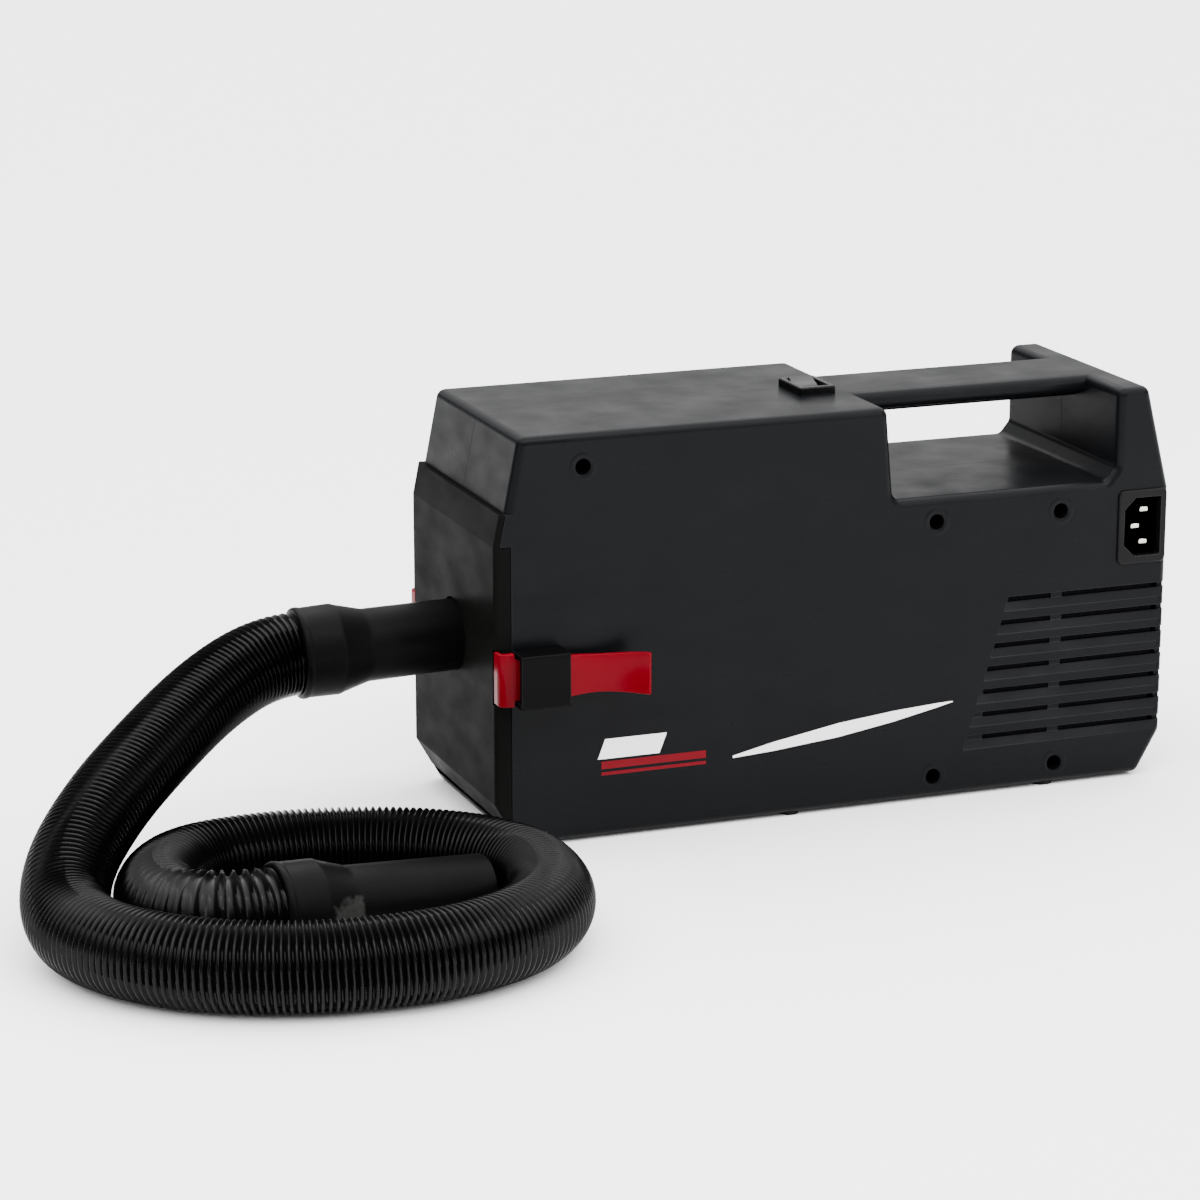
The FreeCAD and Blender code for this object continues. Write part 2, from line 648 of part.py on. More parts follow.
def leverProfile(sign):
    """Plan outline of the latch lever: hook, arm over the pin, dipped and flared press tab."""
    lip = BRIDGE_FRONT - 7
    skin = [
        (lip + 1.9, -1.9), (lip, -1.9), (lip, 4.4), (lip + 1.4, 5.6), (BRIDGE_FRONT, 6.0),
        (LATCH - 4, 7.4), (LATCH - 2, 8.8), (LATCH + 2, 8.8), (LATCH + 4, 7.4),
        (BRIDGE_REAR + 1, 7.2), (BRIDGE_REAR + 7, 6.6), (BRIDGE_REAR + 14, 7.0), (BRIDGE_REAR + 21, 8.8),
        (BRIDGE_REAR + 27, 11.6), (BRIDGE_REAR + 32.5, 15.2), (BRIDGE_REAR + 34, 13.9),
        (BRIDGE_REAR + 28, 9.2), (BRIDGE_REAR + 21.5, 6.3), (BRIDGE_REAR + 14, 4.6),
        (BRIDGE_REAR + 7, 4.1), (BRIDGE_REAR, 4.2), (LATCH + 4, 3.4), (LATCH - 4, 3.0),
        (BRIDGE_FRONT + 1, 2.9), (lip + 1.9, 2.4),
    ]
    return [(x, (HALF + out) * sign) for x, out in skin]


def latch(side):
    sign = SIDES[side]
    height = BASE + S.latchHeight
    pivot = (HALF + S.pivotOut) * sign

    def across(near, far):
        return sorted(((HALF + near) * sign, (HALF + far) * sign), key=lambda value: value.number)

    body = newBody(f"{side}_lever_moulding")
    plan = sketchOn(body, f"{side}_lever_outline", "XY_Plane", height - S.hookHeight / 2)
    outline(plan, leverProfile(sign))
    feature(body, "Pad", f"{side}_lever_solid", plan, S.hookHeight)
    low, high = across(-4, 20)
    trims = []
    for i, (start, end) in enumerate((((S.hookHeight / 2) * -1 - 1, S.tabHeight / -2),
                                      (S.tabHeight / 2, S.hookHeight / 2 + 1))):
        trims.append(block(f"{side}_trim_{i}", (BRIDGE_FRONT - 0.6, low, height + start),
                           (BRIDGE_REAR + 40, high, height + end)))
    hole = rod(f"{side}_lever_hole", "z", (LATCH, pivot, height - S.hookHeight),
               S.pinRadius + S.pivotSlack,
               S.hookHeight * 2)
    window = block(f"{side}_lever_window", (LATCH - 3.6, low, height - 4),
                   (LATCH + 3.6, high, height + 4))
    lever = cut(f"{side}_lever_cut", body, hole, window, *trims)
    tip = (BRIDGE_REAR + 30).number
    lever = rounded(f"{side}_lever_round", lever, size(1.2),
                    lambda e: middle(e).x > tip and runsAlong(e, "x") is False and e.BoundBox.ZLength < 1e-3
                    and e.BoundBox.XLength < 2.5)
    keep(lever, f"{side}_latch_lever")

    low, high = across(0, S.bridgeOut)
    frame = block(f"{side}_bridge_block", (BRIDGE_FRONT, low, height - S.tabHeight / 2 - S.bridgeWall),
                  (BRIDGE_REAR, high, height + S.tabHeight / 2 + S.bridgeWall))
    outEdge = (HALF + S.bridgeOut).number
    frame = rounded(f"{side}_bridge_round", frame, size(1.2),
                    lambda e: runsAlong(e, "x") and abs(abs(middle(e).y) - outEdge) < 1e-3)
    low, high = across(S.bridgeBase, S.bridgeOut - S.bridgeWall)
    tunnel = block(f"{side}_tunnel", (BRIDGE_FRONT - 1, low, height - S.tabHeight / 2 - S.leverSlack),
                   (BRIDGE_REAR + 1, high, height + S.tabHeight / 2 + S.leverSlack))
    pinSpan = S.tabHeight + S.bridgeWall * 2 - 0.6
    pinLow = height - pinSpan / 2
    pinHole = rod(f"{side}_pin_hole", "z", (LATCH, pivot, pinLow), S.pinRadius, pinSpan)
    keep(cut(f"{side}_bridge", frame, tunnel, pinHole), f"{side}_latch_bridge")
    keep(rod(f"{side}_pin", "z", (LATCH, pivot, pinLow), S.pinRadius, pinSpan), f"{side}_latch_pin")
    latchSpring(side, pivot, height)


def latchSpring(side, pivot, height):
    """Torsion spring round the pin in the lever's window."""
    wire = S.springWire.number
    coil = S.pinRadius.number + 0.25 + wire
    rise = 5.6
    helix = Part.makeHelix(rise / 5, rise, coil)
    section = Part.Wire([Part.Circle(FreeCAD.Vector(coil, 0, 0), FreeCAD.Vector(0, 1, 0), wire).toShape()])
    spring = doc.addObject("Part::Feature", f"{side}_spring_coil")
    spring.Shape = Part.Wire(helix.Edges).makePipeShell([section], True, False)
    spring.Placement = FreeCAD.Placement(
        FreeCAD.Vector(LATCH.number, pivot.number, height.number - rise / 2), FreeCAD.Rotation())
    keep(spring, f"{side}_latch_spring")


# ---------------------------------------------------------------- filter


def filterCartridge():
    low = BASE + S.filterLow
    high = BASE + S.filterHigh
    side = S.filterHalfWidth
    outer = block("canister_outer", (FILTER_FRONT, -side, low), (S.filterRear, side, high))
    inner = block("canister_inner",
                  (FILTER_FRONT + S.filterWall, -side + S.filterWall, low + S.filterWall),
                  (S.filterRear + 1, side - S.filterWall, high - S.filterWall))
    hole = rod("canister_port", "x", (FILTER_FRONT - 1, 0, PORT),
               S.cuffRadius + S.portSlack + S.portWall + 3, S.filterWall + 2)
    keep(cut("canister", outer, inner, hole), "filter_canister")

    sleeve = S.cuffRadius + S.portSlack + S.portWall
    keep(ring("canister_grommet", "x", (FILTER_FRONT - 1.5, 0, PORT), sleeve + 3, sleeve,
              S.filterWall + 3),
         "filter_inlet_grommet")

    gasketOuter = block("gasket_outer", (S.filterRear, -side, low),
                        (S.filterRear + S.gasketThick, side, high))
    gasketInner = block("gasket_inner", (S.filterRear - 1, -side + 5, low + 5),
                        (S.filterRear + S.gasketThick + 1, side - 5, high - 5))
    keep(cut("gasket", gasketOuter, gasketInner), "filter_gasket")
    pleats(low, high)


def pleats(low, high):
    """Pleated paper block: one zigzag sheet between the canister's side walls."""
    count = 15
    side = (S.filterHalfWidth - S.filterWall).number - 0.2
    step = 2 * side / (2 * count)
    rear = S.filterRear.number - 1
    front = rear - 26
    thick = 0.8
    forward = [FreeCAD.Vector(front if i % 2 else rear - thick, -side + i * step, 0)
               for i in range(2 * count + 1)]
    back = [point + FreeCAD.Vector(thick, 0, 0) for point in reversed(forward)]
    lift = low.number + S.filterWall.number + 0.2
    tall = high.number - low.number - 2 * S.filterWall.number - 0.4
    face = Part.Face(Part.makePolygon(forward + back + [forward[0]]))
    block_ = doc.addObject("Part::Feature", "pleat_block")
    block_.Shape = face.extrude(FreeCAD.Vector(0, 0, tall))
    block_.Placement = FreeCAD.Placement(FreeCAD.Vector(0, 0, lift), FreeCAD.Rotation())
    keep(block_, "filter_pleats")


def bulkhead():
    """Plate between the filter chamber and the motor chamber, with the fan's inlet hole."""
    front = S.filterRear + S.gasketThick
    top = BASE + S.bodyHeight - S.wall
    plate = block("bulkhead_plate", (front, -INSIDE, BASE + S.wall), (front + S.bulkheadThick, INSIDE, top))
    hole = rod("bulkhead_eye", "x", (front - 1, 0, AXIS), S.eyeRadius + 4, S.bulkheadThick + 2)
    keep(cut("bulkhead_cut", plate, hole), "bulkhead")
    sealFront = front + S.bulkheadThick
    keep(ring("eye_seal", "x", (sealFront, 0, AXIS), S.eyeRadius + 10, S.eyeRadius + 2,
              S.fanCaseFront - sealFront),
         "fan_inlet_seal")


# ---------------------------------------------------------------- fan and motor


def fanCase():
    length = S.fanCaseRear - S.fanCaseFront
    outer = rod("fan_case_outer", "x", (S.fanCaseFront, 0, AXIS), S.fanCaseRadius, length)
    inner = rod("fan_case_inner", "x", (S.fanCaseFront + S.fanCaseWall, 0, AXIS),
                S.fanCaseRadius - S.fanCaseWall, length)
    eye = rod("fan_case_eye", "x", (S.fanCaseFront - 1, 0, AXIS), S.eyeRadius, S.fanCaseWall + 2)
    keep(cut("fan_case_cut", outer, inner, eye), "fan_housing")
    band = ring("fan_band", "x", (S.fanCaseFront + 9, 0, AXIS), INSIDE, S.fanCaseRadius, 10)
    room = block("fan_band_room", (S.fanCaseFront + 8, -INSIDE, BASE + S.wall), (S.fanCaseFront + 20, INSIDE,
                                                                                AXIS + INSIDE))
    keep(common("fan_band_trimmed", band, room), "front_motor_mount")


def fanWheel():
    """Closed centrifugal wheel: back plate, front shroud, swept blades and a hub on the shaft."""
    rear = S.fanCaseRear - 5
    front = S.fanCaseFront + S.fanCaseWall + 4
    back = rod("wheel_back", "x", (rear - 1.2, 0, AXIS), S.wheelRadius, 1.2)
    shroud = rod("wheel_shroud", "x", (front, 0, AXIS), S.wheelRadius, 1)
    eye = rod("wheel_eye", "x", (front - 1, 0, AXIS), S.eyeRadius - 1.5, 2.5)
    hub = rod("wheel_hub", "x", (rear - 12, 0, AXIS), 7.5, 12)
    blades = []
    for i in range(9):
        angle = 360.0 * i / 9
        blade = block(f"blade_{i}", (front + 0.5, -0.6, 0), (rear - 0.6, 0.6, 25))
        tilt = FreeCAD.Rotation(FreeCAD.Vector(1, 0, 0), angle + 28)
        spoke = FreeCAD.Rotation(FreeCAD.Vector(1, 0, 0), angle).multVec(FreeCAD.Vector(0, 0, 16))
        blade.Placement = FreeCAD.Placement(FreeCAD.Vector(), tilt)
        for axis, value in (("x", front + 0.5), ("y", size(spoke.y)), ("z", AXIS + spoke.z)):
            bind(blade, f"Placement.Base.{axis}", value)
        blades.append(blade)
    solid = fuse("wheel_blank", back, cut("wheel_shroud_cut", shroud, eye), hub, *blades)
    bore = rod("wheel_bore", "x", (rear - 20, 0, AXIS), S.shaftRadius, 30)
    keep(cut("wheel_cut", solid, bore), "fan_wheel")

    nut = doc.addObject("Part::Prism", "nut_hexagon")
    nut.Polygon = 6
    nut.Circumradius = 7
    nut.Height = 5
    place(nut, rear - 17, 0, AXIS, TURN["x"])
    keep(cut("nut_cut", nut, rod("nut_bore", "x", (rear - 18, 0, AXIS), S.shaftRadius, 8)), "fan_nut")


def motorFrame():
    """Front bracket with the bearing seat, the can round the field and the rear bracket."""
    front = S.fanCaseRear
    seat = S.bearingRadius + S.runSlack
    plate = rod("front_plate", "x", (front, 0, AXIS), S.fanCaseRadius, 3)
    boss = rod("front_boss", "x", (front, 0, AXIS), S.bearingRadius + 3, 4 + S.bearingWidth)
    through = rod("front_through", "x", (front - 1, 0, AXIS), S.shaftRadius + 2, 20)
    pocket = rod("front_seat", "x", (front + 4, 0, AXIS), seat, 20)
    ducts = []
    for i in range(6):
        spoke = FreeCAD.Rotation(FreeCAD.Vector(1, 0, 0), 60.0 * i).multVec(FreeCAD.Vector(0, 0, 24))
        ducts.append(rod(f"duct_{i}", "x", (front - 1, size(spoke.y), AXIS + spoke.z), 6, 5))
    keep(cut("front_bracket_cut", fuse("front_bracket_blank", plate, boss), through, pocket, *ducts),
         "motor_front_bracket")

    canFront = front + 3
    can = ring("can_ring", "x", (canFront, 0, AXIS), S.canRadius, S.canRadius - S.canWall,
               S.canRear - canFront)
    windows = [block(f"can_window_{i}", (S.commFront - 1, -40, AXIS + low),
                     (S.canRear - 6, 40, AXIS + low + 9))
               for i, low in enumerate((-25, 16))]
    keep(cut("can_cut", can, *windows), "motor_can")

    cap = rod("rear_plate", "x", (S.canRear, 0, AXIS), S.canRadius, 3)
    rearBoss = rod("rear_boss", "x", (S.canRear, 0, AXIS), S.bearingRadius + 3, 5 + S.bearingWidth)
    rearThrough = rod("rear_through", "x", (S.canRear - 1, 0, AXIS), S.shaftRadius + 2, 20)
    rearSeat = rod("rear_seat", "x", (S.canRear + 4, 0, AXIS), seat, 20)
    vents = []
    for i in range(6):
        spoke = FreeCAD.Rotation(FreeCAD.Vector(1, 0, 0), 60.0 * i).multVec(FreeCAD.Vector(0, 0, 24))
        vents.append(rod(f"rear_duct_{i}", "x", (S.canRear - 1, size(spoke.y), AXIS + spoke.z), 5, 5))
    keep(cut("rear_bracket_cut", fuse("rear_bracket_blank", cap, rearBoss), rearThrough, rearSeat, *vents),
         "motor_rear_bracket")
    keep(ring("rear_rubber", "x", (S.canRear + 3.5, 0, AXIS), S.mountRadius, S.bearingRadius + 3, 7),
         "rear_motor_mount")
    for name, x in (("front", front + 4), ("rear", S.canRear + 4)):
        keep(ring(f"{name}_race", "x", (x, 0, AXIS), S.bearingRadius, S.shaftRadius + S.runSlack,
                  S.bearingWidth),
             f"{name}_bearing")


def stator():
    core = ring("core_ring", "x", (S.coreFront, 0, AXIS), S.coreRadius, S.poleRadius, S.coreLength)
    outer = S.poleRadius + 7
    slotRing = ring("slot_ring", "x", (S.coreFront - 1, 0, AXIS), outer, S.poleRadius - 1, S.coreLength + 2)
    slots = []
    coils = []
    for name, low, high in (("upper", 7.5, 40), ("lower", -40, -7.5)):
        zone = block(f"{name}_slot_zone", (S.coreFront - 2, -40, AXIS + low),
                     (S.coreFront + S.coreLength + 2, 40,
                                                                               AXIS + high))
        slots.append(common(f"{name}_slot", slotRing, zone))
        wound = ring(f"{name}_coil_ring", "x", (S.coreFront - 8, 0, AXIS), outer - 0.3, S.poleRadius + 0.5,
                     S.coreLength + 16)
        reach = block(f"{name}_coil_zone", (S.coreFront - 9, -40, AXIS + low + (0.4 if low > 0 else -40)),
                      (S.coreFront + S.coreLength + 9, 40, AXIS + high + (40 if low > 0 else -0.4)))
        coils.append(common(f"{name}_coil", wound, reach))
    keep(cut("core_cut", core, *slots), "field_core")
    keep(group("coil_pair", coils), "field_windings")


def rotor():
    start = S.fanCaseRear - 5 - 18
    keep(rod("shaft_rod", "x", (start, 0, AXIS), S.shaftRadius, S.canRear + 13 - start), "motor_shaft")
    core = ring("rotor_ring", "x", (S.coreFront, 0, AXIS), S.rotorRadius, S.shaftRadius, S.coreLength)
    keep(core, "armature_core")
    front = ring("front_end_turns", "x", (S.coreFront - 7, 0, AXIS), 17, 6, 7)
    rear = ring("rear_end_turns", "x", (S.coreFront + S.coreLength, 0, AXIS), 17, 6, 7)
    keep(group("end_turns", [front, rear]), "armature_windings")
    comm = ring("comm_ring", "x", (S.commFront, 0, AXIS), S.commRadius, S.shaftRadius, S.commLength)
    grooves = []
    for i in range(12):
        groove = block(f"segment_gap_{i}", (0, -0.25, 0), (S.commLength + 2, 0.25, 3))
        turn = FreeCAD.Rotation(FreeCAD.Vector(1, 0, 0), 30.0 * i)
        spoke = turn.multVec(FreeCAD.Vector(0, 0, S.commRadius.number - 1.2))
        groove.Placement = FreeCAD.Placement(FreeCAD.Vector(), turn)
        for axis, value in (("x", S.commFront - 1), ("y", size(spoke.y)), ("z", AXIS + spoke.z)):
            bind(groove, f"Placement.Base.{axis}", value)
        grooves.append(groove)
    keep(cut("comm_cut", comm, *grooves), "commutator")


def brushGear():
    """Two carbon brushes on opposite sides of the commutator, in brass boxes with their springs."""
    half = S.brushSize / 2
    centre = S.commFront + S.commLength / 2
    reach = S.canRadius - S.canWall - 0.7
    brushes = []
    holders = []
    springs = []
    for side, sign in SIDES.items():
        def span(near, far, sign=sign):
            return sorted((size(near) * sign, size(far) * sign), key=lambda value: value.number)

        low, high = span(S.commRadius + 0.1, S.commRadius + S.brushLength)
        brushes.append(block(f"{side}_carbon", (centre - half, low, AXIS - half),
                             (centre + half, high, AXIS + half)))
        low, high = span(S.commRadius + 1.6, reach - 0.1)
        outer = block(f"{side}_holder_box",
                      (centre - half - S.holderWall - 0.1, low, AXIS - half - S.holderWall - 0.1),
                      (centre + half + S.holderWall + 0.1, high, AXIS + half + S.holderWall + 0.1))
        low, high = span(S.commRadius, reach - S.holderWall)
        inner = block(f"{side}_holder_bore", (centre - half - 0.1, low, AXIS - half - 0.1),
                      (centre + half + 0.1, high, AXIS + half + 0.1))
        holders.append(cut(f"{side}_holder", outer, inner))
        length = (reach - S.holderWall - S.commRadius - S.brushLength).number
        length -= 1.2
        helix = Part.makeHelix(length / 3, length, 2.2)
        wire = Part.Circle(FreeCAD.Vector(2.2, 0, 0), FreeCAD.Vector(0, 1, 0), 0.4)
        section = Part.Wire([wire.toShape()])
        spring = doc.addObject("Part::Feature", f"{side}_brush_coil")
        spring.Shape = Part.Wire(helix.Edges).makePipeShell([section], True, False)
        turn = FreeCAD.Rotation(FreeCAD.Vector(1, 0, 0), -90 * sign)
        foot = ((S.commRadius + S.brushLength).number + 0.6) * sign
        spring.Placement = FreeCAD.Placement(FreeCAD.Vector(centre.number, foot, AXIS.number), turn)
        springs.append(spring)
    keep(group("brush_pair", brushes), "carbon_brushes")
    keep(group("holder_pair", holders), "brush_holders")
    keep(group("brush_spring_pair", springs), "brush_springs")


def motorExtras():
    """Suppression capacitor and terminal block on the can, and the exhaust foams behind the vents."""
    top = AXIS + S.canRadius
    capacitor = block("capacitor_box", (20, -8, top - 1.2), (46, 8, top + 11))
    seat = rod("capacitor_seat", "x", (19, 0, AXIS), S.canRadius, 28)
    keep(cut("capacitor_cut", capacitor, seat), "suppression_capacitor")
    terminals = block("terminal_box", (58, -9, top - 1.6), (72, 9, top + 6))
    under = rod("terminal_seat", "x", (57, 0, AXIS), S.canRadius, 16)
    keep(cut("terminal_cut", terminals, under), "terminal_block")
    for side, sign in SIDES.items():
        low, high = sorted((INSIDE * sign, (INSIDE - 5) * sign), key=lambda value: value.number)
        pad = block(f"{side}_foam_pad", (62, low, BASE + 16), (146, high, BASE + 88))
        keep(pad, f"{side}_exhaust_foam")


# ---------------------------------------------------------------- switch, mains inlet and leads


def powerSwitch():
    top = BASE + S.bodyHeight
    x = S.switchX
    y = S.switchY
    half = S.bezelLength / 2
    reach = S.bezelWidth / 2
    bezel = block("bezel", (x - half, y - reach, top), (x + half, y + reach, top + S.bezelProud))
    bezelTop = (top + S.bezelProud).number
    bezel = rounded("bezel_round", bezel, size(0.8),
                    lambda e: runsAlong(e, "z") or abs(middle(e).z - bezelTop) < 1e-3)
    case = block("switch_case", (x - half + 1.3, y - reach + 1.5, top - S.switchDepth),
                 (x + half - 1.3, y + reach - 1.5, top + 0.5))
    well = block("switch_well", (x - S.rockerLength / 2 - 0.4, y - S.rockerHalf - 0.9, top - 6),
                 (x + S.rockerLength / 2 + 0.4, y + S.rockerHalf + 0.9, top + S.bezelProud + 1))
    holes = rod("trunnion_holes", "x", (x - half + 0.9, y, top), S.trunnion + S.pivotSlack,
                S.bezelLength - 1.8)
    keep(cut("switch_cut", fuse("switch_blank", bezel, case), well, holes), "switch_body")

    body = newBody("rocker_moulding")
    sketch = sketchOn(body, "rocker_section", "YZ_Plane", -S.rockerLength / 2)
    end = S.rockerHalf
    outline(sketch, [(-end, 3.2), (-end * 0.5, 2.1), (0, 1.8), (end * 0.5, 2.1), (end, 3.2),
                     (end - 0.4, -0.5),
                     (3, -3.2), (-3, -3.2), (-end + 0.4, -0.5)])
    feature(body, "Pad", "rocker_solid", sketch, S.rockerLength)
    stubs = sketchOn(body, "trunnion_circle", "YZ_Plane", -S.rockerLength / 2 - 1)
    stubs.addGeometry(Part.Circle(FreeCAD.Vector(), FreeCAD.Vector(0, 0, 1), S.trunnion.number), False)
    stubs.addConstraint(Sketcher.Constraint("Coincident", 0, 3, -1, 1))
    radius = stubs.addConstraint(Sketcher.Constraint("Radius", 0, S.trunnion.number))
    stubs.setExpression(f"Constraints[{radius}]", S.trunnion.text)
    feature(body, "Pad", "trunnions", stubs, S.rockerLength + 2)
    tilt = FreeCAD.Rotation(FreeCAD.Vector(1, 0, 0), S.rockerTilt.number)
    keep(place(body, x, y, top, tilt), "switch_rocker")


def mainsInlet():
    """Appliance inlet: rounded rim on the casing, insulating body behind it and a chamfered socket."""
    x = S.inletX
    z = BASE + S.inletHeight
    rim = block("inlet_rim", (x - S.rimWidth / 2, -HALF - S.rimProud, z - S.rimTall / 2),
                (x + S.rimWidth / 2, -HALF, z + S.rimTall / 2))
    face = -(HALF + S.rimProud).number
    rim = rounded("inlet_rim_corners", rim, size(2.6), lambda e: runsAlong(e, "y"))
    rim = rounded("inlet_rim_edge", rim, size(0.9), lambda e: abs(e.BoundBox.YMax - face) < 1e-3)
    body = block("inlet_case", (x - S.socketWidth / 2 - 1.2, -HALF - 0.2, z - S.socketTall / 2 - 1.2),
                 (x + S.socketWidth / 2 + 1.2, -HALF + S.inletDepth, z + S.socketTall / 2 + 1.2))
    moulding = newBody("socket_tool")
    sketch = sketchOn(moulding, "socket_outline", "XZ_Plane", HALF - S.socketDepth)
    wide = S.socketWidth / 2
    tall = S.socketTall / 2
    outline(sketch, [(x + wide, z - tall), (x + wide, z + tall), (x - wide + 5, z + tall),
                     (x - wide, z + tall - 5), (x - wide, z - tall + 5), (x - wide + 5, z - tall)])
    feature(moulding, "Pad", "socket_hollow", sketch, S.socketDepth + 5)
    keep(cut("inlet_cut", fuse("inlet_blank", rim, body), moulding), "power_inlet")
    pins = []
    for i, (dx, dz) in enumerate(((1.5, 7), (1.5, -7), (-2.5, 0))):
        pins.append(block(f"pin_{i}", (x + dx - 2, -HALF + 1, z + dz - 1),
                          (x + dx + 2, -HALF + S.socketDepth, z + dz + 1)))
    keep(group("pin_trio", pins), "inlet_pins")


def lead(label, points):
    """Insulated wire of straight runs and tangent arcs between two terminals."""
    corners = [FreeCAD.Vector(*point) for point in points]
    edges = []
    start = corners[0]
    for before, corner, after in zip(corners, corners[1:], corners[2:]):
        into = corner - before
        out = after - corner
        reach = 0.4 * min(into.Length, out.Length)
        into.normalize()
        out.normalize()
        turn = into.getAngle(out)
        radius = reach / math.tan(turn / 2)
        bow = out - into
        bow.normalize()
        dip = radius / math.cos(turn / 2) - radius
        edges.append(Part.LineSegment(start, corner - into * reach).toShape())
        edges.append(Part.Arc(corner - into * reach, corner + bow * dip, corner + out * reach).toShape())
        start = corner + out * reach
    edges.append(Part.LineSegment(start, corners[-1]).toShape())
    section = Part.Wire([Part.Circle(corners[0], corners[1] - corners[0], S.leadRadius.number).toShape()])
    wire = doc.addObject("Part::Feature", f"{label}_wire")
    wire.Shape = Part.Wire(edges).makePipeShell([section], True, False)
    keep(wire, label)


def leads():
    base = BASE.number
    inletRear = (-HALF + S.inletDepth).number
    inletZ = base + S.inletHeight.number
    caseFoot = base + S.bodyHeight.number - S.switchDepth.number
    blockFront = 58
    tap = (AXIS + S.canRadius + 3).number
    lead("live_lead", [(S.inletX.number, inletRear, inletZ + 4), (S.inletX.number, inletRear + 6, inletZ + 4),
                       (118, -20, inletZ - 1), (100, -24, inletZ - 1), (30, -26, inletZ - 1),
                       (8, -22, inletZ + 14),
                       (S.switchX.number, S.switchY.number - 5, caseFoot - 18),
                       (S.switchX.number, S.switchY.number - 5, caseFoot)])
    lead("switched_lead", [(S.switchX.number, S.switchY.number + 5, caseFoot),
                           (S.switchX.number, S.switchY.number + 5, caseFoot - 26), (12, 16, inletZ - 1),
                           (34, 18, inletZ - 1), (48, 14, tap), (52, 5, tap), (blockFront, 5, tap)])
    lead("neutral_lead", [(S.inletX.number, inletRear, inletZ - 6),
                          (S.inletX.number, inletRear + 6, inletZ - 6),
                          (108, -8, tap + 1), (86, -4, tap), (72, -4, tap)])


def checkModel():
    """Stops the build if a feature failed, a cut took nothing away, or a finished shape isn't sound."""
    doc.recompute()
    for thing in doc.Objects:
        bad = {"Invalid", "Error"} & set(thing.State)
        if bad:
            raise RuntimeError(f"{thing.Name} ({thing.Label}) is {sorted(bad)}")
        if thing.TypeId in ("PartDesign::Pocket", "PartDesign::Groove"):
            if thing.Shape.Volume > thing.BaseFeature.Shape.Volume - 1:
                raise RuntimeError(f"{thing.Name} removes nothing")
    for part in finished:
        shape = part.Shape
        if shape.isNull() or not shape.isValid() or not shape.Solids:
            raise RuntimeError(f"{part.Label} has no sound solid")


def main():
    for side in SIDES:
        casing(side)
        latch(side)
    casingScrews()
    feet()
    frontCover()
    coverSeal()
    portSeal()
    cuff("machine_cuff", HOSE_ROUTE[0], 0, -S.cuffDroop)
    hose()
    cuff("tool_cuff", HOSE_ROUTE[-1], S.toolTurn, S.toolDroop)
    filterCartridge()
    bulkhead()
    fanCase()
    fanWheel()
    motorFrame()
    stator()
    rotor()
    brushGear()
    motorExtras()
    powerSwitch()
    mainsInlet()
    leads()
    checkModel()
    os.makedirs("parts", exist_ok=True)
    for part in finished:
        part.Shape.exportStep(f"parts/{part.Label}.step")
    print(len(finished), "sub-parts written")


main()
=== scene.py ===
import json
import math

import bmesh
import bpy
from mathutils import Matrix, Vector


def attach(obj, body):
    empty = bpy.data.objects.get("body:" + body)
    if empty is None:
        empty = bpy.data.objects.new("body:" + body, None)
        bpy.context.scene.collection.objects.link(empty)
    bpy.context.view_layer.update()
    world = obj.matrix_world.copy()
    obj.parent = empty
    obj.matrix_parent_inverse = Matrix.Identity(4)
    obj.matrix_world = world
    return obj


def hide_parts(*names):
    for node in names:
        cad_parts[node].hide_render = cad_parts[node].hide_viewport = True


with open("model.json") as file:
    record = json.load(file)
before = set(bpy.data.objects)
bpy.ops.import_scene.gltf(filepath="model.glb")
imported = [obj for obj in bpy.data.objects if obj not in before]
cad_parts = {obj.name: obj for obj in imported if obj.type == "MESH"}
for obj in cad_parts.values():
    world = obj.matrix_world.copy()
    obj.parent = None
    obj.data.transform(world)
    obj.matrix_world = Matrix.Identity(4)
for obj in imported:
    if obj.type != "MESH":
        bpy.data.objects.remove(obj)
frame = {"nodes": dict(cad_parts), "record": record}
millimetre = 0.001
halfWidth = 52.2
feetProud = 1.2
weldDistance = 2e-6
flatAngle = math.radians(0.4)


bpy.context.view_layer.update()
print("frame loaded")


# materials

# share of the reflection kept on faces with painted shade
frontShadeShare = 0.3


def newMaterial(name):
    material = bpy.data.materials.new(name)
    material.use_nodes = True
    tree = material.node_tree
    return material, tree.nodes, tree.links, tree.nodes["Principled BSDF"]


def mixedColor(nodes, links, factor, first, second):
    mix = nodes.new("ShaderNodeMix")
    mix.data_type = "RGBA"
    links.new(factor, mix.inputs["Factor"])
    mix.inputs["A"].default_value = (*first, 1)
    mix.inputs["B"].default_value = (*second, 1)
    return mix.outputs["Result"]


def spread(nodes, links, source, low, high, start=0.3, end=0.7):
    span = nodes.new("ShaderNodeMapRange")
    links.new(source, span.inputs["Value"])
    span.inputs["From Min"].default_value = start
    span.inputs["From Max"].default_value = end
    span.inputs["To Min"].default_value = low
    span.inputs["To Max"].default_value = high
    return span.outputs["Result"]


def noise(nodes, links, scale, detail=3.0, stretch=(1, 1, 1)):
    place = nodes.new("ShaderNodeTexCoord")
    shape = nodes.new("ShaderNodeMapping")
    shape.inputs["Scale"].default_value = stretch
    links.new(place.outputs["Object"], shape.inputs["Vector"])
    texture = nodes.new("ShaderNodeTexNoise")
    texture.inputs["Scale"].default_value = scale
    texture.inputs["Detail"].default_value = detail
    links.new(shape.outputs["Vector"], texture.inputs["Vector"])
    return texture.outputs["Fac"]


def bumped(nodes, links, height, strength, distance, under=None):
    bump = nodes.new("ShaderNodeBump")
    bump.inputs["Strength"].default_value = strength
    bump.inputs["Distance"].default_value = distance
    links.new(height, bump.inputs["Height"])
    if under is not None:
        links.new(under, bump.inputs["Normal"])
    return bump.outputs["Normal"]


